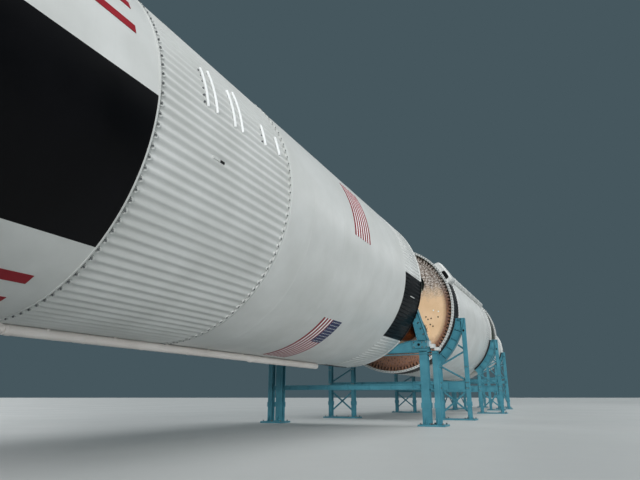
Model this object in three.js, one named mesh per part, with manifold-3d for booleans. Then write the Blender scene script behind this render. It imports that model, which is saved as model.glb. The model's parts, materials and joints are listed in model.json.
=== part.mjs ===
// A three-stage Moon rocket on its side, stages pulled apart on steel display stands, at 1:10 scale.
// Sizes are written as full-size metres. X runs forward along the rocket from the ring between the
// fuel tank and the intertank, Z is up and the rocket's axis is at z = 0 until the last group, which
// scales the whole to model millimetres and puts the stands' feet on z = 0.
import * as THREE from 'three';
import { mergeVertices } from 'three/addons/utils/BufferGeometryUtils.js';
import Module from 'manifold-3d';

const wasm = await Module();
wasm.setup();

// Scale and clearances
const MODEL_MM_PER_METRE = 100;
const GAP = 0.003;
const HATCH_GAP = 0.007;

// Stations along the rocket
const X = {
  firstBase: -13.2,
  fuelTankAft: -7.27,
  intertankAft: 0,
  oxidizerTankAft: 6.563,
  firstSkirtAft: 20.07,
  firstForward: 23.276,
  secondAft: 32.64,
  secondShield: 33.05,
  secondThrustFace: 33.85,
  secondTankAft: 34.84,
  secondSkirtAft: 48.4,
  secondForward: 51.9,
  coneAft: 55.9,
  thirdAft: 61.68,
  thirdSkirtAft: 70.65,
  ringAft: 73.75,
  adapterAft: 74.66,
  serviceAft: 83.19,
  crewAft: 87.13,
  motorAft: 93.0,
  noseTip: 100.6,
};

// Hull
const HULL_RADIUS = 5.03;
const THIRD_RADIUS = 3.3;
const SERVICE_RADIUS = 1.955;
const SKIRT_WALL = 0.18;
const AXIS_HEIGHT = 8.45;
const HULL_SEGMENTS = 40;
const THIRD_SEGMENTS = 32;
const SERVICE_SEGMENTS = 24;

// Intertank corrugation
const CORRUGATIONS = 115;
const CORRUGATION_DEPTH = 0.1;

// Engines: gimbal pivot stations and the radius of the outboard circle
const FIRST_PIVOT = -13.51;
const FIRST_ENGINE_CIRCLE = 4.62;
const SECOND_PIVOT = 33.57;
const SECOND_ENGINE_CIRCLE = 2.67;
const THIRD_PIVOT = 61.02;
const OUTBOARD_TURNS = [45, 135, 225, 315];

const DEGREE = Math.PI / 180;

// Finishes
const finish = (color, roughness, metalness) => (
  new THREE.MeshStandardMaterial({ color, roughness, metalness })
);
const WHITE_PAINT = finish(0xd9dcda, 0.45, 0.0);
const TAN_INSULATION = finish(0xdebe9a, 0.8, 0.0);
const TEAL_PAINT = finish(0x2f7f91, 0.5, 0.1);
const BARE_ALUMINIUM = finish(0x9a9c98, 0.4, 0.9);
const ENGINE_STEEL = finish(0x8a6a4c, 0.4, 0.9);

// Makes a closed solid of a three.js geometry: shared vertices merged, no slivers, faces outwards.
function solid(geometry) {
  const bare = geometry.clone();
  bare.deleteAttribute('normal');
  bare.deleteAttribute('uv');
  const merged = mergeVertices(bare, 1e-5);
  const position = merged.attributes.position;
  const index = merged.index.array;
  const corners = [];
  let volume = 0;
  const a = new THREE.Vector3();
  const b = new THREE.Vector3();
  const c = new THREE.Vector3();
  for (let i = 0; i < index.length; i += 3) {
    const [p, q, r] = [index[i], index[i + 1], index[i + 2]];
    if (p === q || q === r || r === p) continue;
    corners.push(p, q, r);
    a.fromBufferAttribute(position, p);
    b.fromBufferAttribute(position, q);
    c.fromBufferAttribute(position, r);
    volume += a.dot(b.cross(c));
  }
  const triVerts = new Uint32Array(volume < 0 ? corners.reverse() : corners);
  const vertProperties = new Float32Array(position.array);
  return new wasm.Manifold(new wasm.Mesh({ numProp: 3, vertProperties, triVerts }));
}

// Joins and cuts; each takes geometries and gives a geometry.
function geometryOf(manifold) {
  const mesh = manifold.getMesh();
  const geometry = new THREE.BufferGeometry();
  geometry.setAttribute('position', new THREE.BufferAttribute(new Float32Array(mesh.vertProperties), 3));
  geometry.setIndex(new THREE.BufferAttribute(new Uint32Array(mesh.triVerts), 1));
  return geometry;
}

function unite(...geometries) {
  return geometryOf(geometries.map(solid).reduce((whole, piece) => whole.add(piece)));
}

function cut(geometry, ...tools) {
  return geometryOf(tools.map(solid).reduce((whole, tool) => whole.subtract(tool), solid(geometry)));
}

function common(geometry, tool) {
  return geometryOf(solid(geometry).intersect(solid(tool)));
}

// A body of revolution about X from [x, radius] points, which start and end on the axis or close.
function revolve(profile, segments) {
  const points = profile.map(([x, radius]) => new THREE.Vector2(radius, x));
  if (profile[0][1] > 0) points.push(points[0].clone());
  const geometry = new THREE.LatheGeometry(points, segments);
  geometry.rotateZ(-Math.PI / 2);
  return geometryOf(solid(geometry));
}

function cylinderAlongX(x0, x1, radius, segments) {
  return revolve([[x0, 0], [x0, radius], [x1, radius], [x1, 0]], segments);
}

function box(low, high) {
  const size = high.map((value, axis) => value - low[axis]);
  const geometry = new THREE.BoxGeometry(...size);
  geometry.translate(...high.map((value, axis) => (value + low[axis]) / 2));
  return geometry;
}

// A round or square bar between two points.
function bar(start, end, radius, sides) {
  const from = new THREE.Vector3(...start);
  const along = new THREE.Vector3(...end).sub(from);
  const geometry = new THREE.CylinderGeometry(radius, radius, along.length(), sides);
  geometry.translate(0, along.length() / 2, 0);
  const up = new THREE.Vector3(0, 1, 0);
  const turn = new THREE.Quaternion().setFromUnitVectors(up, along.clone().normalize());
  geometry.applyQuaternion(turn);
  geometry.translate(...start);
  return geometry;
}

// A plate across the rocket: a [y, z] outline between two stations.
function crossPlate(outline, x0, x1) {
  const shape = new THREE.Shape(outline.map(([y, z]) => new THREE.Vector2(y, z)));
  const geometry = new THREE.ExtrudeGeometry(shape, { depth: x1 - x0, bevelEnabled: false });
  const basis = new THREE.Matrix4().makeBasis(
    new THREE.Vector3(0, 1, 0),
    new THREE.Vector3(0, 0, 1),
    new THREE.Vector3(1, 0, 0),
  );
  geometry.applyMatrix4(basis);
  geometry.translate(x0, 0, 0);
  return geometry;
}

// A closed skin over sections with equal numbers of [x, y, z] points.
function loft(sections) {
  const count = sections[0].length;
  const points = sections.flat();
  const index = [];
  for (let s = 0; s < sections.length - 1; s += 1) {
    for (let i = 0; i < count; i += 1) {
      const j = (i + 1) % count;
      const [p, q] = [s * count + i, s * count + j];
      index.push(p, q, q + count, p, q + count, p + count);
    }
  }
  const last = (sections.length - 1) * count;
  for (let i = 1; i < count - 1; i += 1) {
    index.push(0, i + 1, i, last, last + i, last + i + 1);
  }
  const geometry = new THREE.BufferGeometry();
  geometry.setAttribute('position', new THREE.BufferAttribute(new Float32Array(points.flat()), 3));
  geometry.setIndex(index);
  return geometryOf(solid(geometry));
}

// Turns a copy about the rocket's axis: 0 is up, 90 is the near side (-Y).
function turned(geometry, degrees) {
  return geometry.clone().rotateX(degrees * DEGREE);
}

function moved(geometry, x, y, z) {
  return geometry.clone().translate(x, y, z);
}

const rocket = new THREE.Group();

function add(name, geometry, material) {
  const mesh = new THREE.Mesh(geometry, material);
  mesh.name = name;
  rocket.add(mesh);
}

// Quarter of an ellipse from the dome's rim to its top, as [x, radius] points.
function dome(x, radius, height, steps) {
  return Array.from({ length: steps + 1 }, (_, i) => {
    const angle = (i / steps) * (Math.PI / 2);
    return [x + height * Math.sin(angle), i === steps ? 0 : radius * Math.cos(angle)];
  });
}

// Gimbals: a cross between two ears above it, fixed to the stage, and two below it, on the engine.
// reach: from the pivot to an ear's inner face; ear: its thickness; half: half its width.
const BIG_GIMBAL = { reach: 0.22, ear: 0.09, half: 0.13, pin: 0.09, core: 0.13 };
const SMALL_GIMBAL = { reach: 0.15, ear: 0.06, half: 0.08, pin: 0.055, core: 0.085 };

function gimbalBlock(gimbal, sideArm = gimbal.reach - GAP) {
  const arm = gimbal.reach - GAP;
  const core = box([-gimbal.core, -gimbal.core, -gimbal.core], [gimbal.core, gimbal.core, gimbal.core]);
  const upright = bar([0, 0, -arm], [0, 0, arm], gimbal.pin, 8);
  const sideways = bar([0, -sideArm, 0], [0, sideArm, 0], gimbal.pin, 8);
  return unite(core, upright, sideways);
}

// Ears fixed to the stage hold the upright pins; rise is how far the stage's face is from the pivot.
function stageEars(gimbal, rise) {
  return [-1, 1].map((side) => {
    const inner = side * gimbal.reach;
    const outer = side * (gimbal.reach + gimbal.ear);
    const low = [-gimbal.half, -gimbal.half, Math.min(inner, outer)];
    const high = [rise, gimbal.half, Math.max(inner, outer)];
    return box(low, high);
  });
}

// The centre engines don't swing: their block is one with the engine, its side pins sunk in the ears.
function fixedEngine(engine, gimbal) {
  return unite(engine, gimbalBlock(gimbal, gimbal.reach + gimbal.ear / 2));
}

function engineEars(gimbal, drop) {
  return [-1, 1].map((side) => {
    const inner = side * gimbal.reach;
    const outer = side * (gimbal.reach + gimbal.ear);
    const low = [-drop, Math.min(inner, outer), -gimbal.half];
    const high = [gimbal.half, Math.max(inner, outer), gimbal.half];
    return box(low, high);
  });
}

// Big engine: profile from the injector dome over the chamber and bell, and back up inside.
const BIG_ENGINE_PROFILE = [
  [-0.34, 0], [-0.34, 0.5], [-1.35, 0.56], [-1.75, 0.48], [-2.85, 1.1], [-2.95, 1.45], [-3.4, 1.45],
  [-3.42, 1.34], [-5.46, 1.88], [-5.46, 1.83], [-2.95, 1.06], [-1.75, 0.4], [-0.8, 0.46], [-0.8, 0],
];

function bigEngine() {
  const bell = revolve(BIG_ENGINE_PROFILE, 18);
  const pump = bar([-0.6, 0, 0.92], [-2.1, 0, 0.98], 0.38, 8);
  const exhaust = bar([-1.9, 0, 1.02], [-3.15, 0, 1.28], 0.24, 6);
  return unite(bell, pump, exhaust, ...engineEars(BIG_GIMBAL, 0.5));
}

// Small engine, the same for the second and third stages.
const SMALL_ENGINE_PROFILE = [
  [-0.24, 0], [-0.24, 0.3], [-0.62, 0.29], [-0.85, 0.22], [-1.6, 0.62], [-3.38, 1.015],
  [-3.38, 0.985], [-1.6, 0.58], [-0.85, 0.17], [-0.45, 0],
];

function smallEngine() {
  const bell = revolve(SMALL_ENGINE_PROFILE, 16);
  const pumps = [-1, 1].map((side) => bar([-0.45, 0, side * 0.45], [-1.15, 0, side * 0.5], 0.2, 6));
  return unite(bell, ...pumps, ...engineEars(SMALL_GIMBAL, 0.32));
}

// Places like pieces on the outboard circle; the pieces keep their own turn, so every gimbal's axes
// stay upright and sideways.
function outboardPlaces(circle) {
  return OUTBOARD_TURNS.map((turn) => [-circle * Math.sin(turn * DEGREE), circle * Math.cos(turn * DEGREE)]);
}

// First stage
function addFirstStage() {
  const places = outboardPlaces(FIRST_ENGINE_CIRCLE);
  const rise = X.firstBase - FIRST_PIVOT + 0.1;
  const ears = [[0, 0], ...places].flatMap(([y, z]) => (
    stageEars(BIG_GIMBAL, rise).map((ear) => moved(ear, FIRST_PIVOT, y, z))
  ));
  const base = cylinderAlongX(X.firstBase, X.fuelTankAft, HULL_RADIUS, HULL_SEGMENTS);
  add('thrust_structure', unite(base, ...ears), WHITE_PAINT);

  add('fuel_tank', cylinderAlongX(X.fuelTankAft, X.intertankAft, HULL_RADIUS, HULL_SEGMENTS), WHITE_PAINT);

  // Each corrugation is a ridge and a valley with straight slopes between them.
  const ring = [];
  for (let i = 0; i < CORRUGATIONS; i += 1) {
    for (const [part, depth] of [[0, 0], [0.5, CORRUGATION_DEPTH]]) {
      const angle = ((i + part) / CORRUGATIONS) * 2 * Math.PI;
      const radius = HULL_RADIUS - depth;
      ring.push([radius * Math.cos(angle), radius * Math.sin(angle)]);
    }
  }
  add('intertank', crossPlate(ring, X.intertankAft, X.oxidizerTankAft), WHITE_PAINT);

  const oxidizerTank = [
    [X.oxidizerTankAft, 0], [X.oxidizerTankAft, HULL_RADIUS], [X.firstSkirtAft, HULL_RADIUS],
    ...dome(X.firstSkirtAft, HULL_RADIUS - SKIRT_WALL - 0.05, 2.9, 5),
  ];
  add('oxidizer_tank', revolve(oxidizerTank, HULL_SEGMENTS), WHITE_PAINT);
  const firstSkirt = skirt(X.firstSkirtAft, X.firstForward, HULL_RADIUS, HULL_SEGMENTS);
  add('first_stage_forward_skirt', firstSkirt, WHITE_PAINT);

  const tunnel = cableTunnel();
  add('cable_tunnel_lower', turned(tunnel, 180), WHITE_PAINT);
  add('cable_tunnel_upper', tunnel, WHITE_PAINT);

  OUTBOARD_TURNS.forEach((turn, i) => {
    add(`engine_fairing_${i + 1}`, turned(engineFairing(), turn), WHITE_PAINT);
    add(`fin_${i + 1}`, turned(fin(), turn), WHITE_PAINT);
  });

  const block = gimbalBlock(BIG_GIMBAL);
  const engine = bigEngine();
  add('first_stage_center_engine', moved(fixedEngine(engine, BIG_GIMBAL), FIRST_PIVOT, 0, 0), ENGINE_STEEL);
  places.forEach(([y, z], i) => {
    add(`first_stage_gimbal_${i + 1}`, moved(block, FIRST_PIVOT, y, z), BARE_ALUMINIUM);
    add(`first_stage_engine_${i + 1}`, moved(engine, FIRST_PIVOT, y, z), ENGINE_STEEL);
  });
}

// A skirt: a hollow ring with a bolting flange turned inwards at its forward end.
function skirt(x0, x1, radius, segments) {
  const inner = radius - SKIRT_WALL;
  const flange = inner - 0.2;
  return revolve([
    [x0, radius], [x1, radius], [x1, flange], [x1 - 0.12, flange], [x1 - 0.12, inner], [x0, inner],
  ], segments);
}

// A pipe along X with a rounded forward end.
function tunnelPipe(x0, x1, radius) {
  return revolve([
    [x0, 0], [x0, radius], [x1 - radius, radius], [x1 - 0.3 * radius, 0.7 * radius], [x1, 0],
  ], 12);
}

// The first stage's pipe lies on the hull's top line in lengths that widen forward.
const CABLE_TUNNEL_LENGTHS = [
  { aft: -12.9, forward: 0.5, radius: 0.12 },
  { aft: 0.48, forward: 12.0, radius: 0.145 },
  { aft: 11.98, forward: 18.9, radius: 0.157 },
];

function cableTunnel() {
  return unite(...CABLE_TUNNEL_LENGTHS.map(({ aft, forward, radius }, i) => {
    const isLast = i === CABLE_TUNNEL_LENGTHS.length - 1;
    const length = isLast ? tunnelPipe(aft, forward, radius) : cylinderAlongX(aft, forward, radius, 12);
    return moved(length, 0, 0, HULL_RADIUS + GAP + radius);
  }));
}

// Leaning cone behind each outboard engine's corner of the hull, hollow and open aft.
const FAIRING = {
  aft: -14.86,
  forward: -7.32,
  aftRadius: 2.3,
  forwardRadius: 0.3,
  aftCentre: 4.62,
  forwardCentre: 4.85,
};
const FAIRING_WALL = 0.1;

function leaningCone(x0, x1, radius0, radius1, grow) {
  const cone = revolve([[x0, 0], [x0, radius0 + grow], [x1, radius1 + grow], [x1, 0]], 28);
  const lean = (FAIRING.forwardCentre - FAIRING.aftCentre) / (FAIRING.forward - FAIRING.aft);
  const offset = FAIRING.aftCentre - lean * FAIRING.aft;
  const shear = new THREE.Matrix4().set(1, 0, 0, 0, 0, 1, 0, 0, lean, 0, 1, offset, 0, 0, 0, 1);
  return cone.applyMatrix4(shear);
}

function engineFairing() {
  const outer = leaningCone(FAIRING.aft, FAIRING.forward, FAIRING.aftRadius, FAIRING.forwardRadius, 0);
  const slope = (FAIRING.forwardRadius - FAIRING.aftRadius) / (FAIRING.forward - FAIRING.aft);
  const innerAft = FAIRING.aft - 0.2;
  const innerForward = FAIRING.forward - 1.2;
  const radiusAt = (x) => FAIRING.aftRadius + slope * (x - FAIRING.aft);
  const aftRadius = radiusAt(innerAft);
  const forwardRadius = radiusAt(innerForward);
  const inner = leaningCone(innerAft, innerForward, aftRadius, forwardRadius, -FAIRING_WALL);
  const hull = cylinderAlongX(FAIRING.aft - 1, FAIRING.forward + 1, HULL_RADIUS + GAP, HULL_SEGMENTS);
  return cut(outer, inner, hull);
}

// Swept fin with a blunt diamond section, seated on the fairing's ridge.
const FIN = {
  aft: -14.6,
  root: { radius: 5.6, forward: -10.2, half: 0.22 },
  tip: { radius: 9.6, forward: -13.1, half: 0.1 },
};

function finSection({ radius, forward, half }) {
  const { aft } = FIN;
  const middle = aft + 0.45 * (forward - aft);
  return [[aft, -0.25 * half, radius], [middle, -half, radius], [forward, 0, radius], [middle, half, radius],
    [aft, 0.25 * half, radius]];
}

function fin() {
  const blade = loft([finSection(FIN.root), finSection(FIN.tip)]);
  const fairing = leaningCone(FAIRING.aft, FAIRING.forward, FAIRING.aftRadius, FAIRING.forwardRadius, GAP);
  const hull = cylinderAlongX(FAIRING.aft, FAIRING.forward, HULL_RADIUS + GAP, HULL_SEGMENTS);
  return cut(blade, fairing, hull);
}

// Second stage
const SHIELD_RADIUS = 4.25;
const SHIELD_THICKNESS = 0.08;
const SHIELD_HOLE_RADIUS = 0.95;
const THRUST_CONE_RADII = { aft: 3.2, forward: 4.7 };
const SECOND_TUNNEL_RADIUS = 0.25;
const SECOND_TUNNEL_TURN = 58;

function addSecondStage() {
  const inner = HULL_RADIUS - 0.15;
  const shieldForward = X.secondShield + SHIELD_THICKNESS;
  const frameRadius = SHIELD_RADIUS + GAP;
  add('second_stage_aft_skirt', revolve([
    [X.secondAft, HULL_RADIUS], [X.secondTankAft, HULL_RADIUS], [X.secondTankAft, inner],
    [shieldForward, inner], [shieldForward, frameRadius], [X.secondShield, frameRadius],
    [X.secondShield, inner], [X.secondAft, inner],
  ], HULL_SEGMENTS), WHITE_PAINT);

  const places = outboardPlaces(SECOND_ENGINE_CIRCLE);
  const holes = [[0, 0], ...places].map(([y, z]) => (
    moved(cylinderAlongX(X.secondShield - 0.1, shieldForward + 0.1, SHIELD_HOLE_RADIUS, 16), 0, y, z)
  ));
  const disc = cylinderAlongX(X.secondShield, shieldForward, SHIELD_RADIUS, HULL_SEGMENTS);
  add('second_stage_heat_shield', cut(disc, ...holes), TAN_INSULATION);

  const cone = revolve([
    [X.secondThrustFace, 0], [X.secondThrustFace, THRUST_CONE_RADII.aft],
    [X.secondTankAft, THRUST_CONE_RADII.forward], [X.secondTankAft, 0],
  ], HULL_SEGMENTS);
  const rise = X.secondThrustFace - SECOND_PIVOT + 0.1;
  const ears = [[0, 0], ...places].flatMap(([y, z]) => (
    stageEars(SMALL_GIMBAL, rise).map((ear) => moved(ear, SECOND_PIVOT, y, z))
  ));
  add('second_stage_thrust_cone', unite(cone, ...ears), BARE_ALUMINIUM);

  const tank = [
    [X.secondTankAft, 0], [X.secondTankAft, HULL_RADIUS], [X.secondSkirtAft, HULL_RADIUS],
    ...dome(X.secondSkirtAft, HULL_RADIUS - SKIRT_WALL - 0.05, 2.6, 5),
  ];
  add('second_stage_tank', revolve(tank, HULL_SEGMENTS), WHITE_PAINT);
  const secondSkirt = skirt(X.secondSkirtAft, X.secondForward, HULL_RADIUS, HULL_SEGMENTS);
  add('second_stage_forward_skirt', secondSkirt, WHITE_PAINT);

  // Half-sunk pipe with a wide boat-shaped fairing at its aft end, high on the near side. The hull
  // that cuts it is turned the other way first, so that its facets match once the whole is turned.
  const pipe = tunnelPipe(X.secondAft + 2, X.secondForward - 1.2, SECOND_TUNNEL_RADIUS);
  const sunkPipe = moved(pipe, 0, 0, HULL_RADIUS + 0.1);
  const aftFairing = loft([
    podSection(X.secondAft + 0.15, 0.95, HULL_RADIUS + 0.42),
    podSection(X.secondAft + 2.4, 0.7, HULL_RADIUS + 0.38),
    podSection(X.secondAft + 3.6, 0.2, HULL_RADIUS + 0.12),
  ]);
  const hull = cylinderAlongX(X.secondAft - 1, X.secondForward + 1, HULL_RADIUS + GAP, HULL_SEGMENTS);
  const seated = cut(unite(sunkPipe, aftFairing), turned(hull, -SECOND_TUNNEL_TURN));
  add('second_stage_tunnel', turned(seated, SECOND_TUNNEL_TURN), WHITE_PAINT);

  const block = gimbalBlock(SMALL_GIMBAL);
  const engine = smallEngine();
  const centerEngine = moved(fixedEngine(engine, SMALL_GIMBAL), SECOND_PIVOT, 0, 0);
  add('second_stage_center_engine', centerEngine, ENGINE_STEEL);
  places.forEach(([y, z], i) => {
    add(`second_stage_gimbal_${i + 1}`, moved(block, SECOND_PIVOT, y, z), BARE_ALUMINIUM);
    add(`second_stage_engine_${i + 1}`, moved(engine, SECOND_PIVOT, y, z), ENGINE_STEEL);
  });
}

// A flat-topped pod section standing on the hull's top line, to be cut to the hull below.
function podSection(x, half, top) {
  const foot = top - 1.1;
  return [[x, -half, foot], [x, half, foot], [x, half, top - 0.25],
    [x, 0.6 * half, top], [x, -0.6 * half, top],
    [x, -half, top - 0.25]];
}

// Third stage, instrument ring and spacecraft
const INTERSTAGE_WALL = 0.15;
const RING_WALL = 0.12;
const ADAPTER_WALL = 0.1;
const THIRD_FACE = { station: THIRD_PIVOT + 0.28, radius: 0.5, rootRadius: 1.2 };
const THRUSTER_POD = { aft: X.crewAft - 1.5, forward: X.crewAft - 0.9, half: 0.22, height: 0.22 };

function addThirdStage() {
  add('third_stage_interstage', revolve([
    [X.coneAft, HULL_RADIUS], [X.thirdAft, THIRD_RADIUS], [X.thirdAft, THIRD_RADIUS - INTERSTAGE_WALL],
    [X.coneAft, HULL_RADIUS - INTERSTAGE_WALL],
  ], HULL_SEGMENTS), WHITE_PAINT);

  const tank = revolve([
    [THIRD_FACE.station, 0], [THIRD_FACE.station, THIRD_FACE.radius], [X.thirdAft, THIRD_FACE.rootRadius],
    [X.thirdAft, THIRD_RADIUS], [X.thirdSkirtAft, THIRD_RADIUS],
    ...dome(X.thirdSkirtAft, THIRD_RADIUS - SKIRT_WALL - 0.05, 1.6, 4),
  ], THIRD_SEGMENTS);
  const rise = THIRD_FACE.station - THIRD_PIVOT + 0.06;
  const ears = stageEars(SMALL_GIMBAL, rise).map((ear) => moved(ear, THIRD_PIVOT, 0, 0));
  add('third_stage_tank', unite(tank, ...ears), WHITE_PAINT);
  const thirdSkirt = skirt(X.thirdSkirtAft, X.ringAft, THIRD_RADIUS, THIRD_SEGMENTS);
  add('third_stage_forward_skirt', thirdSkirt, WHITE_PAINT);
  add('third_stage_gimbal', moved(gimbalBlock(SMALL_GIMBAL), THIRD_PIVOT, 0, 0), BARE_ALUMINIUM);
  add('third_stage_engine', moved(smallEngine(), THIRD_PIVOT, 0, 0), ENGINE_STEEL);

  const module = loft([
    podSection(X.thirdAft + 0.2, 0.45, THIRD_RADIUS + 0.55),
    podSection(X.thirdAft + 1.7, 0.45, THIRD_RADIUS + 0.55),
    podSection(X.thirdAft + 2.4, 0.2, THIRD_RADIUS + 0.15),
  ]);
  const hull = cylinderAlongX(X.thirdAft, X.thirdSkirtAft, THIRD_RADIUS + GAP, THIRD_SEGMENTS);
  const seated = cut(module, hull);
  [90, 270].forEach((turn, i) => add(`control_module_${i + 1}`, turned(seated, turn), WHITE_PAINT));

  add('instrument_ring', revolve([
    [X.ringAft, THIRD_RADIUS], [X.adapterAft, THIRD_RADIUS], [X.adapterAft, THIRD_RADIUS - RING_WALL],
    [X.ringAft, THIRD_RADIUS - RING_WALL],
  ], THIRD_SEGMENTS), WHITE_PAINT);
}

function addSpacecraft() {
  add('spacecraft_adapter', revolve([
    [X.adapterAft, THIRD_RADIUS], [X.serviceAft, SERVICE_RADIUS],
    [X.serviceAft, SERVICE_RADIUS - ADAPTER_WALL], [X.adapterAft, THIRD_RADIUS - ADAPTER_WALL],
  ], THIRD_SEGMENTS), WHITE_PAINT);

  // Four thruster pods stand on the service module's side.
  const body = cylinderAlongX(X.serviceAft, X.crewAft, SERVICE_RADIUS, SERVICE_SEGMENTS);
  const { aft, forward, half, height } = THRUSTER_POD;
  const pod = box([aft, -half, SERVICE_RADIUS - 0.2], [forward, half, SERVICE_RADIUS + height]);
  const pods = [0, 90, 180, 270].map((turn) => turned(pod, turn));
  add('service_module', unite(body, ...pods), BARE_ALUMINIUM);
  addCrewModule();
  addEscapeTower();
}

// Crew module: a hollow cone with its hatch and four windows, hatch on the near side.
const CREW = {
  shoulder: X.crewAft + 0.22,
  bend: 89.8,
  bendRadius: 0.52,
  topForward: 90.2,
  topRadius: 0.42,
  wall: 0.12,
};
const HATCH = { middle: 88.35, length: 0.84, width: 0.86, turn: 90 };

function crewCone(grow) {
  return revolve([
    [X.crewAft - grow, 0], [X.crewAft - grow, SERVICE_RADIUS + grow], [CREW.shoulder, SERVICE_RADIUS + grow],
    [CREW.bend, CREW.bendRadius + grow], [CREW.topForward + grow, CREW.topRadius + grow],
    [CREW.topForward + grow, 0],
  ], SERVICE_SEGMENTS);
}

function crewSlope() {
  return Math.atan2(SERVICE_RADIUS - CREW.bendRadius, CREW.bend - CREW.shoulder);
}

function crewRadius(x) {
  return SERVICE_RADIUS - (x - CREW.shoulder) * Math.tan(crewSlope());
}

// A block square to the cone's side, centred on its skin, with its length along the slope.
function blockOnCone(middle, length, width, turn) {
  const block = new THREE.BoxGeometry(length, width, 0.8);
  block.rotateY(crewSlope());
  block.translate(middle, 0, crewRadius(middle));
  return turned(block, turn);
}

function addCrewModule() {
  const inside = revolve([
    [X.crewAft + CREW.wall, 0], [X.crewAft + CREW.wall, SERVICE_RADIUS - CREW.wall],
    [CREW.shoulder, SERVICE_RADIUS - CREW.wall], [CREW.bend - 0.3, 0.55], [CREW.bend - 0.3, 0],
  ], SERVICE_SEGMENTS);
  const shell = cut(crewCone(0), inside);
  const windows = [[88.75, 35], [88.75, 145], [89.1, 62], [89.1, 118]].map(([x, turn]) => (
    blockOnCone(x, 0.24, 0.24, turn)
  ));
  const hatchHole = blockOnCone(HATCH.middle, HATCH.length, HATCH.width, HATCH.turn);
  add('crew_module', cut(shell, hatchHole, ...windows), WHITE_PAINT);

  const hatchBlock = blockOnCone(
    HATCH.middle, HATCH.length - 2 * HATCH_GAP, HATCH.width - 2 * HATCH_GAP, HATCH.turn,
  );
  const hatchWindow = blockOnCone(HATCH.middle + 0.12, 0.2, 0.2, HATCH.turn);
  add('crew_hatch', cut(common(shell, hatchBlock), hatchWindow), WHITE_PAINT);
}

// Escape tower: four legs on the crew cone, three square rings and crossed braces.
const TOWER = { foot: 88.95, footRadius: 0.95, topRadius: 0.42, leg: 0.06, brace: 0.035, seatRadius: 0.45 };
const TOWER_LEVELS = [0.35, 0.95];

function addEscapeTower() {
  const top = X.motorAft - GAP;
  const corner = (part, turn) => {
    const radius = TOWER.footRadius + part * (TOWER.topRadius - TOWER.footRadius);
    const x = TOWER.foot + part * (top - TOWER.leg - TOWER.foot);
    return [x, -radius * Math.sin(turn * DEGREE), radius * Math.cos(turn * DEGREE)];
  };
  const brace = (start, end) => bar(start, end, TOWER.brace, 4);
  const bars = OUTBOARD_TURNS.map((turn) => bar(corner(0, turn), corner(1, turn), TOWER.leg, 5));
  TOWER_LEVELS.forEach((level, i) => {
    OUTBOARD_TURNS.forEach((turn) => {
      bars.push(brace(corner(level, turn), corner(level, turn + 90)));
      if (i > 0) {
        const below = TOWER_LEVELS[i - 1];
        bars.push(brace(corner(below, turn), corner(level, turn + 90)));
        bars.push(brace(corner(below, turn + 90), corner(level, turn)));
      }
    });
  });
  const seat = cylinderAlongX(top - 0.1, top, TOWER.seatRadius, 12);
  add('escape_tower', cut(unite(...bars, seat), crewCone(GAP)), WHITE_PAINT);

  const casing = revolve([
    [X.motorAft, 0], [X.motorAft, 0.46], [93.7, 0.34], [98.1, 0.33], [98.5, 0.28], [99.5, 0.27],
    [100.3, 0.12], [X.noseTip, 0.05], [X.noseTip, 0],
  ], 16);
  const nozzles = OUTBOARD_TURNS.map((turn) => (
    turned(bar([93.55, 0, 0.25], [92.95, 0, 0.67], 0.14, 6), turn)
  ));
  add('escape_motor', unite(casing, ...nozzles), WHITE_PAINT);
}

// Saddle stands hug a hull from below: on each side a curved arm between two posts.
const SADDLE_STANDS = [
  { name: 'stand_1', aft: -6.8, forward: -6.4, hull: HULL_RADIUS, segments: HULL_SEGMENTS },
  { name: 'stand_3', aft: 32.9, forward: 33.3, hull: HULL_RADIUS, segments: HULL_SEGMENTS },
  { name: 'stand_4', aft: 50.6, forward: 51.0, hull: HULL_RADIUS, segments: HULL_SEGMENTS },
  { name: 'stand_5', aft: 64.9, forward: 65.3, hull: THIRD_RADIUS, segments: THIRD_SEGMENTS },
  { name: 'stand_6', aft: 72.6, forward: 73.0, hull: THIRD_RADIUS, segments: THIRD_SEGMENTS },
  { name: 'stand_7', aft: 84.3, forward: 84.6, hull: SERVICE_RADIUS, segments: SERVICE_SEGMENTS },
];

// Sizes of a saddle stand as shares of the hull's radius
const SADDLE = {
  armInner: 0.94,
  armOuter: 1.157,
  armTop: 0.2,
  innerPost: 0.712,
  innerPostTop: 0.835,
  outerPost: 1.112,
  node: 0.903,
  braceTop: 0.69,
  tieDepth: 0.127,
};
const SADDLE_LOW = -52;
const SADDLE_STEPS = 6;
const POST_HALF = 0.14;
const BRACE_RADIUS = 0.07;
const TIE_HALF = 0.12;
const TIE_DROP = 0.29;
const FOOT = { reach: 0.4, side: 0.45, thickness: 0.1 };

// Points on one side of the rocket from the arm's low end to its top, at a radius.
function armArc(radius, top) {
  const high = -Math.asin(top / radius) / DEGREE;
  return Array.from({ length: SADDLE_STEPS + 1 }, (_, step) => {
    const angle = (SADDLE_LOW + (step / SADDLE_STEPS) * (high - SADDLE_LOW)) * DEGREE;
    return [radius * Math.cos(angle), radius * Math.sin(angle)];
  });
}

// Builds the near and far side of a stand from a function that gives one side's solids.
function bothSides(build) {
  return [-1, 1].flatMap((side) => build(side));
}

function sidePlate(outline, side, aft, forward) {
  const placed = outline.map(([y, z]) => [side * y, z]);
  return crossPlate(placed, aft, forward);
}

function post(y, half, top, aft, forward) {
  return box([aft, y - half, -AXIS_HEIGHT], [forward, y + half, top]);
}

function footPlate(side, inner, outer, aft, forward) {
  const near = side * (inner - FOOT.side);
  const far = side * (outer + FOOT.side);
  const low = [aft - FOOT.reach, Math.min(near, far), -AXIS_HEIGHT];
  const high = [forward + FOOT.reach, Math.max(near, far), FOOT.thickness - AXIS_HEIGHT];
  return box(low, high);
}

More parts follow.
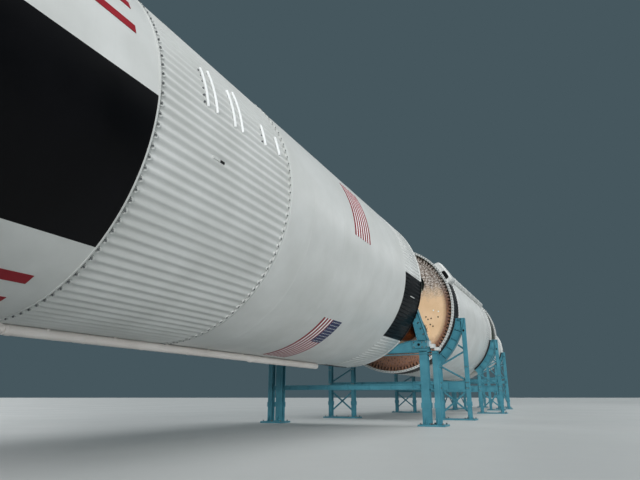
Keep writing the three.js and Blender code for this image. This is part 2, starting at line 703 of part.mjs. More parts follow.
function saddleStand({ aft, forward, hull, segments }) {
  const middle = (aft + forward) / 2;
  const inner = SADDLE.innerPost * hull;
  const outer = SADDLE.outerPost * hull;
  const armTop = SADDLE.armTop * hull;
  const node = -SADDLE.node * hull;
  const tieTop = node - TIE_DROP * (AXIS_HEIGHT + node);
  const tieBottom = tieTop - SADDLE.tieDepth * hull;
  const arm = [
    ...armArc(SADDLE.armInner * hull, armTop),
    ...armArc(SADDLE.armOuter * hull, armTop).reverse(),
  ];
  const brace = (y0, z0, y1, z1) => bar([middle, y0, z0], [middle, y1, z1], BRACE_RADIUS, 4);
  const sides = bothSides((side) => [
    sidePlate(arm, side, aft, forward),
    post(side * inner, POST_HALF, -SADDLE.innerPostTop * hull, aft, forward),
    post(side * outer, POST_HALF, -armTop - 0.02, aft, forward),
    brace(side * inner, node, side * outer, -SADDLE.braceTop * hull),
    brace(side * inner, node, side * outer, tieTop),
    brace(side * inner, tieBottom, side * outer, 0.5 - AXIS_HEIGHT),
    brace(side * outer, tieBottom, side * inner, 0.5 - AXIS_HEIGHT),
    footPlate(side, inner, outer, aft, forward),
  ]);
  const tie = box([middle - TIE_HALF, -outer, tieBottom], [middle + TIE_HALF, outer, tieTop]);
  return cut(unite(...sides, tie), cylinderAlongX(aft - 1, forward + 1, hull + GAP, segments));
}

// The end stand carries the first stage by its forward flange: brackets on a beam between columns.
// Outlines are [y, z] points on the far side of the rocket.
const END_STAND = {
  aft: X.firstForward + GAP,
  forward: 23.7,
  bracket: [[4.15, -1.3], [4.57, -1.3], [5.26, -3.6], [4.6, -3.6], [4.38, -2.54]],
  beam: [[0, -4.28], [5.3, -4.28], [5.3, -3.55], [4.1, -3.57], [2.9, -3.85], [0, -3.85]],
  columns: [{ y: 4.825, half: 0.245 }, { y: 5.52, half: 0.18 }],
  columnTop: -4.2,
  beamEnd: 5.7,
  tieTop: -6.1,
  tieBottom: -6.4,
};

function endStand() {
  const { aft, forward, bracket, beam, columns, columnTop, beamEnd, tieTop, tieBottom } = END_STAND;
  const middle = (aft + forward) / 2;
  const [inner, outer] = columns;
  const sides = bothSides((side) => [
    sidePlate(bracket, side, aft, forward),
    sidePlate(beam, side, aft, forward),
    ...columns.map(({ y, half }) => post(side * y, half, columnTop, aft, forward)),
    footPlate(side, inner.y, outer.y, aft, forward),
  ]);
  const cap = box([aft, -beamEnd, columnTop - 0.2], [forward, beamEnd, columnTop]);
  const tie = box([middle - TIE_HALF, -outer.y, tieBottom], [middle + TIE_HALF, outer.y, tieTop]);
  return unite(...sides, cap, tie);
}

addFirstStage();
addSecondStage();
addThirdStage();
addSpacecraft();
SADDLE_STANDS.forEach((row) => add(row.name, saddleStand(row), TEAL_PAINT));
add('stand_2', endStand(), TEAL_PAINT);

// The model's frame: origin on the floor, midway between the nose tip and the big engines' exits.
const ENGINE_EXIT = FIRST_PIVOT - 5.46;
const MIDDLE = (ENGINE_EXIT + X.noseTip) / 2;
const model = new THREE.Group();
rocket.position.set(-MIDDLE * MODEL_MM_PER_METRE, 0, AXIS_HEIGHT * MODEL_MM_PER_METRE);
rocket.scale.setScalar(MODEL_MM_PER_METRE);
model.add(rocket);

export default model;
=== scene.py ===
# A three-stage Moon rocket on its side, its stages pulled apart on teal steel stands, at 1:10 scale.
# Every size is a full-size metre, measured from the rocket's axis at the ring between the fuel tank
# and the intertank. X runs forward and Z up, and TO_MODEL brings a finished piece to the model.
# An angle around the rocket is in degrees: 0 is the near side (-Y), 90 the top, -90 the bottom.
import json
import math

import bmesh
import bpy
from mathutils import Matrix, Vector
from mathutils.geometry import tessellate_polygon


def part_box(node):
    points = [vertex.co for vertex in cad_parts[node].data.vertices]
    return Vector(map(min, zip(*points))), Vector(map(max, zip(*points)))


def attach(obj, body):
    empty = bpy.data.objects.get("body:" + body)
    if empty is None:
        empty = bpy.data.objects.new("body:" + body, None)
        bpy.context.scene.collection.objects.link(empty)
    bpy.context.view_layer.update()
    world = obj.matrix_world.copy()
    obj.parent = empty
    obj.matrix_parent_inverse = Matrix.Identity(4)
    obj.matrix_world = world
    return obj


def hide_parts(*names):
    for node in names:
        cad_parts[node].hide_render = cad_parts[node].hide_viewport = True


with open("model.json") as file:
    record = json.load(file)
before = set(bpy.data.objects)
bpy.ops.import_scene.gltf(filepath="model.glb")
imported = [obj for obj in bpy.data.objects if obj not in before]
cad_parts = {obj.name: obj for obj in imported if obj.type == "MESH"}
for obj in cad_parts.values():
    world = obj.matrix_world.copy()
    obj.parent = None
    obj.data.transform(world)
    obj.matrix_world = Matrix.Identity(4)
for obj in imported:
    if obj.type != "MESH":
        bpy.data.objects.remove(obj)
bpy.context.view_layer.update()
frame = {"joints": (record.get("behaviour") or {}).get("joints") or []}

# The model's scale, and where the axis and the first station are in it
SCALE = 0.1
TANK_LOW, TANK_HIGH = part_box("fuel_tank")
ORIGIN = Vector((TANK_HIGH.x, 0.0, (TANK_LOW.z + TANK_HIGH.z) / 2))
TO_MODEL = Matrix.Translation(ORIGIN) @ Matrix.Scale(SCALE, 4)


def span(node):
    """The aft and forward stations of a CAD node."""
    low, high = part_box(node)
    return (low.x - ORIGIN.x) / SCALE, (high.x - ORIGIN.x) / SCALE


def pivot(joint_name):
    """The place of a joint's axis."""
    joint = next(j for j in frame["joints"] if j["name"] == joint_name)
    return (Vector(joint["pos_m"]) - ORIGIN) / SCALE


def round_radius(node):
    low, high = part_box(node)
    return (high.z - low.z) / 2 / SCALE


# Radii of the first two stages, of the third, and of the service and crew modules
HULL = round_radius("fuel_tank")
THIRD = round_radius("instrument_ring")
SERVICE = round_radius("crew_module")
SKIRT_WALL = 0.18
AXIS_HEIGHT = ORIGIN.z / SCALE
HULL_STEPS = 192

# Black paint covers alternate eighths of the hull, from these angles
PANEL_STARTS = (-45, 45, 135, 225)
PANEL_SWEEP = 45

# The camera of the photograph: place in the model, directions in radians, focal length in its pixels
CAMERA_PLACE = Vector((-4.9055, -1.3221, 0.1599))
CAMERA_YAW = 0.4473
CAMERA_PITCH = 0.2904
FOCAL_PIXELS = 526.38
PHOTO_WIDTH = 640


def add_camera():
    data = bpy.data.cameras.new("photo_view")
    data.sensor_width = 36.0
    data.lens = FOCAL_PIXELS * data.sensor_width / PHOTO_WIDTH
    data.clip_start = 0.02
    data.clip_end = 200.0
    camera = bpy.data.objects.new("photo_view", data)
    bpy.context.scene.collection.objects.link(camera)
    level = math.cos(CAMERA_PITCH)
    forward = Vector((level * math.cos(CAMERA_YAW), level * math.sin(CAMERA_YAW), math.sin(CAMERA_PITCH)))
    right = forward.cross(Vector((0, 0, 1))).normalized()
    up = right.cross(forward)
    turn = Matrix((right, up, -forward)).transposed().to_4x4()
    camera.matrix_world = Matrix.Translation(CAMERA_PLACE) @ turn
    bpy.context.scene.camera = camera


add_camera()


# Materials
def linear(hex_text):
    """An sRGB hex colour as linear red, green, blue and alpha."""
    parts = [int(hex_text[i:i + 2], 16) / 255 for i in (0, 2, 4)]
    return [c / 12.92 if c <= 0.04045 else ((c + 0.055) / 1.055) ** 2.4 for c in parts] + [1.0]


def put(tree, kind, sockets=None, **settings):
    """Adds a node. sockets maps an input to the output that feeds it or to a value, a colour as hex."""
    made = tree.nodes.new(kind)
    for name, value in settings.items():
        setattr(made, name, value)
    for socket, value in (sockets or {}).items():
        if isinstance(value, bpy.types.NodeSocket):
            tree.links.new(value, made.inputs[socket])
        else:
            made.inputs[socket].default_value = linear(value) if isinstance(value, str) else value
    return made


def per(size_mm):
    """A pattern's scale from the size of one grain on the model, in millimetres."""
    return 1000.0 / size_mm


# The Mix node's colour sockets
MIX_A, MIX_B, MIX_OUT = 6, 7, 2
GRAIN_ROUGHNESS = 0.55


def layered(tree, tone, *layers):
    """A tone with others laid over it in turn. A layer is a share from 0 to 1 and a tone."""
    for share, over in layers:
        sockets = {0: share, MIX_A: tone, MIX_B: over}
        tone = put(tree, "ShaderNodeMix", sockets, data_type="RGBA").outputs[MIX_OUT]
    return tone


def noise(tree, place, size_mm, detail=4.0, low=0.35, high=0.65, most=1.0):
    """Noise with grains of a size, spread so that low gives 0 and high gives the most."""
    sockets = {"Vector": place, "Scale": per(size_mm), "Detail": detail, "Roughness": GRAIN_ROUGHNESS}
    raw = put(tree, "ShaderNodeTexNoise", sockets).outputs[0]
    return put(tree, "ShaderNodeMapRange", {0: raw, 1: low, 2: high, 4: most}).outputs[0]


def start_material(name, stretch=(1.0, 1.0, 1.0)):
    """A new material, its node tree and its place: Object coordinates from the rocket's axis."""
    material = bpy.data.materials.new(name)
    material.use_nodes = True
    tree = material.node_tree
    tree.nodes.clear()
    coordinates = put(tree, "ShaderNodeTexCoord").outputs["Object"]
    centre = [-ORIGIN[i] * stretch[i] for i in range(3)]
    mapping = put(tree, "ShaderNodeMapping", {"Vector": coordinates, "Location": centre, "Scale": stretch})
    return material, tree, mapping.outputs[0]


def close_material(tree, colour, roughness, heights=(), metal=0.0, ior=1.5, coat=0.0, level=0.5):
    """The shader, with bumps over each other from pairs of a height and its depth in millimetres, and
    the output. A metal keeps the default index of refraction."""
    sockets = {"Base Color": colour, "Roughness": roughness, "Metallic": metal, "IOR": ior,
               "Specular IOR Level": level, "Coat Weight": coat}
    for height, depth_mm in heights:
        raised = {"Height": height, "Distance": depth_mm / 1000.0, "Strength": 1.0}
        if "Normal" in sockets:
            raised["Normal"] = sockets["Normal"]
        sockets["Normal"] = put(tree, "ShaderNodeBump", raised).outputs[0]
    shader = put(tree, "ShaderNodeBsdfPrincipled", sockets)
    put(tree, "ShaderNodeOutputMaterial", {"Surface": shader.outputs[0]})


def hull_enamel(name, fresh, weathered, roughness, gloss_level=0.5):
    """Sprayed enamel on thin aluminium skin: soft broad gloss that wavers where the skin isn't quite
    flat, colour that has faded in wide patches, faint runs of dirt down the sides and orange peel."""
    material, tree, place = start_material(name)
    patches = noise(tree, place, 240, 5.0)
    down = put(tree, "ShaderNodeMapping", {"Vector": place, "Scale": (1.0, 1.0, 0.08)}).outputs[0]
    runs = noise(tree, down, 16, 3.0, 0.5, 0.8, 0.22)
    tone = layered(tree, fresh, (patches, weathered), (runs, weathered))
    spread = {0: patches, 3: roughness - 0.04, 4: roughness + 0.06}
    gloss = put(tree, "ShaderNodeMapRange", spread).outputs[0]
    heights = ((noise(tree, place, 95, 1.0), 0.5), (noise(tree, place, 2.5, 1.0), 0.012))
    close_material(tree, tone, gloss, heights, level=gloss_level)
    return material


WHITE = hull_enamel("white_hull_enamel", "D6D8D6", "C8CAC7", 0.32)
BLACK = hull_enamel("black_hull_enamel", "050507", "0A0A0D", 0.4, 0.12)
RED = hull_enamel("red_hull_enamel", "961C28", "861A25", 0.5, 0.3)
BLUE = hull_enamel("blue_hull_enamel", "1C2A58", "17234A", 0.5, 0.3)
CREAM = hull_enamel("cream_pipe_enamel", "F0EAE5", "E4DCD6", 0.42)
# Brighter white: the flag's white and pale fixings, and a painted highlight on the intertank's raised strips
BRIGHT_WHITE = hull_enamel("bright_white_enamel", "FBFCFC", "F0F2F2", 0.34)
PRIMER = hull_enamel("grey_green_primer", "A7AE9C", "969D8B", 0.55)


def surface(name, tones, grain, roughness, relief=None, over=None, stretch=(1.0, 1.0, 1.0),
            lines=None, **shine):
    """A material whose tone goes between two in grains: a size in millimetres and noise settings.
    roughness is one value, or a pair that goes with the tones. relief is a depth in millimetres and
    grains of its own, which lines may stretch; without grains the tone's own stand out. over lays a
    third tone on: the settings of its grains, then the tone."""
    material, tree, place = start_material(name, stretch)
    grains = noise(tree, place, *grain)
    tone = layered(tree, tones[0], (grains, tones[1]))
    if over:
        *over_grain, over_tone = over
        tone = layered(tree, tone, (noise(tree, place, *over_grain), over_tone))
    if isinstance(roughness, tuple):
        low, high = roughness
        roughness = put(tree, "ShaderNodeMapRange", {0: grains, 3: low, 4: high}).outputs[0]
    heights = []
    if relief:
        depth, *own = relief
        if lines:
            place = put(tree, "ShaderNodeMapping", {"Vector": place, "Scale": lines}).outputs[0]
        heights.append((noise(tree, place, *own) if own else grains, depth))
    close_material(tree, tone, roughness, heights, **shine)
    return material


# Brushed alkyd enamel on rolled steel: even, slightly glossy, with scuffs that show lighter
TEAL = surface("teal_steelwork_enamel", ("3E7A8A", "4B8A9A"), (70, 5.0), (0.34, 0.46), (0.03, 3.0, 2.0),
               over=(9, 6.0, 0.62, 0.72, 0.3, "68A6B4"))
# Chemically milled aluminium plate: pale, dull metal with cloudy patches and fine rolling lines
ALUMINIUM = surface("milled_aluminium", ("B9BBB8", "9DA09D"), (60, 5.0), (0.36, 0.5), (0.01, 1.5, 2.0),
                    lines=(0.05, 1.0, 1.0), metal=1.0)
# Brazed nickel-alloy tubes after firing: dull grey-brown metal with straw and bronze oxide tints
NICKEL = surface("heat_tinted_nickel", ("8E8276", "74655A"), (60, 3.0), (0.36, 0.5), (0.02, 1.6, 2.0),
                 over=(20, 3.0, 0.5, 0.8, 0.5, "54463C"), metal=0.9)
# Sand-cast pump housings in aluminium alloy: light grey metal with a fine pebbled skin
CAST = surface("cast_alloy", ("A3A29C", "8A8983"), (22, 4.0), (0.42, 0.56), (0.05, 1.2, 2.0), metal=1.0)
# Bright drawn stainless steel for bolts, pins and small pipes: clean metal with fine scratches
STAINLESS = surface("stainless_steel", ("B7B8B6", "A4A5A3"), (1.0, 3.0), (0.24, 0.36), (0.01,), metal=1.0)
# Soot baked on the inside of a nozzle: near-black brown, quite matt, with paler rubbed streaks; also painted
# shade in the pockets between the second stage's frame teeth
SOOT_AND_SHADE = surface("baked_soot", ("2B2420", "4A3D34"), (12, 5.0), 0.75, (0.04,), stretch=(0.25, 1.0, 1.0),
               metal=0.3)
# Brown and orange oxide inside a nozzle that was fired and left: matt, blotched, streaked along the tubes
OXIDE = surface("rusty_oxide", ("55331F", "8C4E28"), (9, 5.0, 0.42, 0.6), 0.7, (0.05,),
                over=(5, 4.0, 0.45, 0.62, 1.0, "331B17"), stretch=(0.3, 1.0, 1.0))
# Ceramic-faced insulation panels behind the big engines: matt off-white, warm grey where scorched, gritty
TILE = surface("ceramic_insulation", ("C2B9AB", "94897B"), (70, 5.0, 0.42, 0.7), 0.85, (0.05, 2.0, 3.0))
# Painted shade for holes that are not cut: near black when deep, mid grey when small, with a trace of dust
HOLE_SHADE = surface("dark_recess", ("060607", "101112"), (8, 3.0), 0.7)
BOLT_HOLE_SHADE = surface("shaded_bolt_hole", ("5E6163", "737678"), (8, 3.0), 0.7)
# Aluminised plastic film over the crew module: bright thin metal, wrinkled where it is lapped
FILM = surface("aluminised_film", ("C9CBCC", "AEB1B3"), (11, 6.0), 0.26, (0.35,), metal=1.0)
# Fused-silica window with a dark cabin behind: near black, smooth, with a faint clear coat
GLASS = surface("window_glass", ("0B0F13", "131A20"), (6, 3.0), (0.04, 0.1), ior=1.46, coat=0.4)
# Moulded neoprene under the hull: black, matt, lightly dusted
RUBBER = surface("neoprene_pad", ("17181A", "2A2B2C"), (14, 4.0), 0.8, (0.03, 1.5, 2.0))
# Pale sealed concrete floor: faint clouds and a soft sheen
CONCRETE = surface("sealed_concrete", ("BDBFBE", "B8BBBA"), (900, 4.0), (0.42, 0.55))

# The heat shield's board by height above the axis, full size: it turns darker brown below the second and
# is fully so below the first; the tan board ends at the third, and painted shade, grey, is full above the
# fourth.
BOARD_HEIGHTS = (-3.4, -1.9, 0.8, 2.1)
# Distances from the axis between which the board's outer edge turns brown
EDGE_BROWNING = (4.1, 4.5)
STREAK_SIZE_MM = 18


def glass_fibre_board():
    """Phenolic glass-fibre board: matt tan with darker specks in the middle, a darker grey with pale and
    brown streaks that run outwards above it, painted shade at the board's top, and darker brown towards the
    bottom."""
    material, tree, place = start_material("glass_fibre_board")
    axes = put(tree, "ShaderNodeSeparateXYZ", {0: place}).outputs
    around = put(tree, "ShaderNodeMath", {0: axes[2], 1: axes[1]}, operation="ARCTAN2").outputs[0]
    flat = put(tree, "ShaderNodeCombineXYZ", {1: axes[1], 2: axes[2]}).outputs[0]
    outwards = put(tree, "ShaderNodeVectorMath", {0: flat}, operation="LENGTH").outputs[1]
    grain = {"Scale": per(STREAK_SIZE_MM), "Detail": 4.0}
    grain["Vector"] = put(tree, "ShaderNodeCombineXYZ", {0: around, 1: outwards}).outputs[0]
    rays = put(tree, "ShaderNodeTexNoise", grain).outputs[0]
    wavy = noise(tree, place, 40, 4.0, 0.3, 0.7)
    wave = put(tree, "ShaderNodeMath", {0: wavy, 1: 0.05, 2: axes[2]}, operation="MULTIPLY_ADD").outputs[0]
    lowest, low_brown_start, top_shade_start, top_shade_full = (height * SCALE for height in BOARD_HEIGHTS)
    brown_start, brown_end = (radius * SCALE for radius in EDGE_BROWNING)
    # Shares: what each follows, where it is 0 and where it is 1
    ramps = ((rays, 0.5, 0.62), (rays, 0.46, 0.36), (outwards, brown_start, brown_end),
             (wave, top_shade_start, top_shade_full), (wave, low_brown_start, lowest))
    shares = [put(tree, "ShaderNodeMapRange", {0: value, 1: start, 2: end}).outputs[0]
              for value, start, end in ramps]
    pale_rays, dark_rays, edge, above, below = shares
    brown = layered(tree, "8A6C62", (noise(tree, place, 6, 3.0, 0.5, 0.62), "A5703F"), (dark_rays, "4E332C"))
    grey = layered(tree, "9A8E84", (pale_rays, "DDD6D0"), (dark_rays, "55463C"))
    specks = noise(tree, place, 7, 4.0, 0.62, 0.74)
    tan = layered(tree, "F0CEA8", (noise(tree, place, 90), "E7C49C"), (specks, "D3AC80"), (edge, brown))
    # The grey above is painted shade at the board's top; the brown below darkens it towards the bottom
    tone = layered(tree, tan, (above, grey), (below, brown))
    close_material(tree, tone, 0.82, [(noise(tree, place, 3.0), 0.08)])
    return material


BOARD = glass_fibre_board()


# Shapes
def spot(angle, radius):
    """The [y, z] of a place around the axis."""
    turn = math.radians(angle)
    return -radius * math.cos(turn), radius * math.sin(turn)


def about_x(angle):
    """Turns a part that stands on the near side to an angle around the rocket."""
    return Matrix.Rotation(math.radians(-angle), 4, "X")


def shifted(x, y, z):
    return Matrix.Translation((x, y, z))


def quarter_turns(axis, turns=1):
    return Matrix.Rotation(turns * math.pi / 2, 4, axis)


def taper(x0, radius0, x1, radius1):
    """The radius of a straight-sided cone by station."""
    return lambda x: radius0 + (radius1 - radius0) * (x - x0) / (x1 - x0)


class Shell:
    """Closed skins and repeated parts that make one piece. A face's slot is its place in finishes."""

    def __init__(self, *finishes):
        self.finishes = list(finishes)
        self.points = []
        self.faces = []
        self.slots = []
        self.repeats = []

    def point(self, place):
        self.points.append(Vector(place))
        return len(self.points) - 1

    def face(self, corners, slot=0):
        self.faces.append(tuple(corners))
        self.slots.append(slot)

    def take(self, other, matrix=Matrix.Identity(4), slot=0):
        """Adds a moved copy of another shell, with its repeated parts. slot is for one without finishes."""
        first = len(self.points)
        for finish in other.finishes:
            if finish not in self.finishes:
                self.finishes.append(finish)
        self.points += [matrix @ point for point in other.points]
        self.faces += [tuple(first + corner for corner in face) for face in other.faces]
        places = [self.finishes.index(finish) for finish in other.finishes] or [slot]
        self.slots += [places[own] for own in other.slots]
        self.repeats += [(part, finish, count, matrix @ base) for part, finish, count, base in other.repeats]

    def repeat(self, part, finish, around=1, start=0.0, turn=None, rows=1, row_step=0.0):
        """Copies a part around the axis from an angle, in rows along X, by Geometry Nodes."""
        turn = 360.0 / around if turn is None else turn
        self.repeats.append((part, finish, (around, start, turn, rows, row_step), Matrix.Identity(4)))


def rim(steps=HULL_STEPS):
    """A plain round: its angles, with no rise."""
    return [(360.0 * i / steps, 0.0) for i in range(steps)]


def shaped_rim(count, section, height):
    """A round of like ribs: section lists [share of the pitch, share of the height] of one rib."""
    pitch = 360.0 / count
    return [((i + share) * pitch, rise * height) for i in range(count) for share, rise in section]


BAND_SINK = 0.02
HAT_SECTION = ((0.0, 0.0), (0.3, 0.0), (0.36, 0.75), (0.42, 1.0), (0.58, 1.0), (0.64, 0.75), (0.7, 0.0))
TUBE_SECTION = ((0.0, 0.0), (0.28, 0.9), (0.72, 0.9))
WAVE_SECTION = tuple((i / 12, 0.5 - 0.5 * math.cos(2 * math.pi * i / 12)) for i in range(12))


def lathe(shell, profile, around=None, slot=0, paint=None):
    """Turns [x, radius, share of the rim's rise] points about X; the share may be left out. A profile
    that doesn't start and end on the axis closes on itself. paint gives a finish by station and angle."""
    around = around or rim()
    rings = []
    for x, radius, *share in profile:
        if radius == 0:
            rings.append([shell.point((x, 0.0, 0.0))])
            continue
        rise_share = share[0] if share else 0.0
        rings.append([shell.point((x, *spot(angle, radius + rise_share * rise))) for angle, rise in around])
    count = len(around)
    closed = profile[0][1] > 0
    for k in range(len(rings) if closed else len(rings) - 1):
        here, ahead = rings[k], rings[(k + 1) % len(rings)]
        middle = (profile[k][0] + profile[(k + 1) % len(rings)][0]) / 2
        for i in range(count):
            j = (i + 1) % count
            if len(here) == 1:
                corners = (here[0], ahead[j], ahead[i])
            elif len(ahead) == 1:
                corners = (here[i], here[j], ahead[0])
            else:
                corners = (here[i], here[j], ahead[j], ahead[i])
            half_step = ((around[j][0] - around[i][0]) % 360) / 2
            shell.face(corners, paint(middle, around[i][0] + half_step) if paint else slot)


def disc(shell, x0, x1, radius, steps=HULL_STEPS, slot=0):
    """A solid round between two stations."""
    lathe(shell, ((x0, 0), (x0, radius), (x1, radius), (x1, 0)), rim(steps), slot)


def hoop(shell, x0, x1, low, high, steps=HULL_STEPS, slot=0):
    """A ring of square section between two stations and two radii."""
    lathe(shell, ((x0, low), (x0, high), (x1, high), (x1, low)), rim(steps), slot)


def band(shell, x, radius, width, height, slot=0, steps=HULL_STEPS):
    """A hoop that stands on a round skin."""
    hoop(shell, x, x + width, radius - BAND_SINK, radius + height, steps, slot)


def full_circle(steps):
    return [2 * math.pi * k / steps for k in range(steps)]


def circle(y, z, radius, steps):
    return [(y + radius * math.cos(t), z + radius * math.sin(t)) for t in full_circle(steps)]


def torus(shell, x, ring_radius, radius, steps=72, sides=12, slot=0):
    lathe(shell, circle(x, ring_radius, radius, sides), rim(steps), slot)


def prism(shell, outline, slot=0, walls=()):
    """A closed prism between two like outlines, with holes where walls lists pairs of hole outlines."""
    near, far = outline
    loops = [(near, far), *walls]
    starts = []
    for near_loop, far_loop in loops:
        starts.append(len(shell.points))
        for place in (*near_loop, *far_loop):
            shell.point(place)
        count = len(near_loop)
        for i in range(count):
            j = (i + 1) % count
            first = starts[-1]
            shell.face((first + i, first + j, first + count + j, first + count + i), slot)
    index_near = [start + i for start, (loop, _) in zip(starts, loops) for i in range(len(loop))]
    index_far = [start + len(loop) + i for start, (loop, _) in zip(starts, loops) for i in range(len(loop))]
    for triangle in tessellate_polygon([[Vector(place) for place in loop] for loop, _ in loops]):
        shell.face([index_near[i] for i in triangle], slot)
        shell.face([index_far[i] for i in triangle], slot)


def cross_plate(shell, outline, x0, x1, slot=0, holes=()):
    """A plate across the rocket: [y, z] outlines between two stations."""
    def at(loop, x):
        return [(x, y, z) for y, z in loop]
    prism(shell, (at(outline, x0), at(outline, x1)), slot, [(at(hole, x0), at(hole, x1)) for hole in holes])


def block(shell, low, high, slot=0):
    (x0, y0, z0), (x1, y1, z1) = low, high
    near = [(x0, y0, z0), (x1, y0, z0), (x1, y0, z1), (x0, y0, z1)]
    far = [(x, y1, z) for x, _, z in near]
    prism(shell, (near, far), slot)


def loft(shell, sections, slot=0, paint=None):
    """A closed skin over sections with equal numbers of points."""
    rings = [[shell.point(place) for place in section] for section in sections]
    count = len(rings[0])
    for k, (here, ahead) in enumerate(zip(rings, rings[1:])):
        for i in range(count):
            j = (i + 1) % count
            shell.face((here[i], here[j], ahead[j], ahead[i]), paint(k, i) if paint else slot)
    shell.face(rings[0][::-1], slot)
    shell.face(rings[-1], slot)


def patch(shell, x0, x1, low_angle, high_angle, low_radius, high_radius, slot=0, step=2.0):
    """A curved block that lies on a round skin."""
    steps = max(1, round(abs(high_angle - low_angle) / step))
    corners = ((x0, high_radius), (x1, high_radius), (x1, low_radius), (x0, low_radius))
    angles = [low_angle + (high_angle - low_angle) * i / steps for i in range(steps + 1)]
    loft(shell, [[(x, *spot(angle, radius)) for x, radius in corners] for angle in angles], slot)


def bar_along(shell, rows, half, sink, rise):
    """A bar on the near side that follows [x, radius] rows, sunk into a skin and standing out of it."""
    loft(shell, [[(x, -r + sink, -half), (x, -r - rise, -half), (x, -r - rise, half), (x, -r + sink, half)]
                 for x, r in rows])


def rounded(path, reach, steps=5):
    """A path with each corner turned into a curve that starts a reach before it."""
    path = [Vector(place) for place in path]
    smooth = [path[0]]
    for before, corner, after in zip(path, path[1:], path[2:]):
        start = corner + (before - corner).normalized() * min(reach, (before - corner).length / 2)
        end = corner + (after - corner).normalized() * min(reach, (after - corner).length / 2)
        for i in range(steps + 1):
            t = i / steps
            smooth.append(start.lerp(corner, t).lerp(corner.lerp(end, t), t))
    return smooth + [path[-1]]


def pipe(shell, path, radius, sides=14, slot=0, flanges=0.0):
    """A round pipe along a path, with closed ends and, where flanges gives a height, end flanges."""
    path = [Vector(place) for place in path]
    across = (path[1] - path[0]).normalized().orthogonal().normalized()
    sections = []
    for i, place in enumerate(path):
        along = (path[min(i + 1, len(path) - 1)] - path[max(i - 1, 0)]).normalized()
        across = (across - along * across.dot(along)).normalized()
        other = along.cross(across)
        spokes = [across * math.cos(t) + other * math.sin(t) for t in full_circle(sides)]
        sections.append([place + spoke * radius for spoke in spokes])
    loft(shell, sections, slot)
    if flanges:
        for end, inner in ((path[0], path[1]), (path[-1], path[-2])):
            thickness = (inner - end).normalized() * 0.3 * radius
            pipe(shell, [end, end + thickness], radius + flanges, sides, slot)


def strut(shell, start, end, width, height, slot=0):
    """A bar of square section between two places; width is level and height is upright."""
    start, end = Vector(start), Vector(end)
    along = (end - start).normalized()
    side = Vector((1, 0, 0)) if abs(along.x) < 0.9 else Vector((0, 1, 0))
    side = (side - along * side.dot(along)).normalized() * width / 2
    rise = along.cross(side).normalized() * height / 2
    corners = (side + rise, side - rise, -side - rise, -side + rise)
    prism(shell, ([start + c for c in corners], [end + c for c in corners]), slot)


def hexagon_bolt(radius, height, *finishes):
    """A bolt head with its washer, standing along -X from station 0."""
    part = Shell(*finishes)
    disc(part, 0, -0.25 * height, 1.5 * radius, 10)
    disc(part, -0.2 * height, -height, radius, 6)
    return part


def moved_part(part, matrix):
    made = Shell(*part.finishes)
    made.take(part, matrix)
    return made


def part_of(make, *sizes, finish=None, **settings):
    """A shell with the one shape that a function makes."""
    part = Shell(finish) if finish else Shell()
    make(part, *sizes, **settings)
    return part


def face_bolt(x, radius_place, size, aft=True):
    """A bolt on a face across the rocket, on the near side."""
    turn = quarter_turns("Z", 0 if aft else 2)
    return moved_part(hexagon_bolt(size, size), shifted(x, -radius_place, 0) @ turn)


def skin_bolt(x, radius_place, size):
    """A bolt or screw that stands out from the hull, on the near side."""
    return moved_part(hexagon_bolt(size, size), shifted(x, -radius_place, 0) @ quarter_turns("Z"))


def array_tree():
    """Geometry Nodes that set copies of a part around X and in rows along it."""
    tree = bpy.data.node_groups.new("turned_rows", "GeometryNodeTree")
    wanted = (("Part", "Object"), ("Around", "Int"), ("Rows", "Int"), ("Start", "Float"), ("Turn", "Float"),
              ("Row Step", "Float"), ("Finish", "Material"))
    face = tree.interface
    sockets = {name: face.new_socket(name, in_out="INPUT", socket_type=f"NodeSocket{kind}").identifier
               for name, kind in wanted}
    face.new_socket("Geometry", in_out="OUTPUT", socket_type="NodeSocketGeometry")
    given = put(tree, "NodeGroupInput").outputs
    # Sums: a name, an operation, and terms that are an input, an earlier sum or a number
    sums = (
        ("number", "MULTIPLY", "Around", "Rows"),
        ("step", "MODULO", "index", "Around"),
        ("angle", "MULTIPLY_ADD", "step", "Turn", "Start"),
        ("turn", "MULTIPLY", "angle", -math.pi / 180),
        ("rounds", "DIVIDE", "index", "Around"),
        ("row", "FLOOR", "rounds"),
        ("along", "MULTIPLY", "row", "Row Step"),
    )
    known = {name: given[name] for name, _ in wanted}
    known["index"] = put(tree, "GeometryNodeInputIndex").outputs[0]
    for name, operation, *terms in sums:
        values = {i: known.get(term, term) for i, term in enumerate(terms)}
        known[name] = put(tree, "ShaderNodeMath", values, operation=operation).outputs[0]
    turn = put(tree, "ShaderNodeCombineXYZ", {0: known["turn"]}).outputs[0]
    place = put(tree, "ShaderNodeCombineXYZ", {0: known["along"]}).outputs[0]
    points = put(tree, "GeometryNodePoints", {"Count": known["number"], "Position": place})
    part = put(tree, "GeometryNodeObjectInfo", {"Object": given["Part"]})
    rotation = put(tree, "FunctionNodeEulerToRotation", {0: turn})
    copies = put(tree, "GeometryNodeInstanceOnPoints", {
        "Points": points.outputs[0], "Instance": part.outputs["Geometry"], "Rotation": rotation.outputs[0],
    })
    solid = put(tree, "GeometryNodeRealizeInstances", {0: copies.outputs[0]})
    dressing = {"Geometry": solid.outputs[0], "Material": given["Finish"]}
    dressed = put(tree, "GeometryNodeSetMaterial", dressing)
    put(tree, "NodeGroupOutput", {0: dressed.outputs[0]})
    return tree, sockets


ARRAY_TREE, ARRAY_SOCKETS = array_tree()


def shown(name, mesh):
    made = bpy.data.objects.new(name, mesh)
    bpy.context.scene.collection.objects.link(made)
    return made


def drop(made):
    mesh = made.data
    bpy.data.objects.remove(made)
    bpy.data.meshes.remove(mesh)


def baked(made):
    """A plain mesh of an object with its modifiers worked in."""
    graph = bpy.context.evaluated_depsgraph_get()
    return bpy.data.meshes.new_from_object(made.evaluated_get(graph), depsgraph=graph)


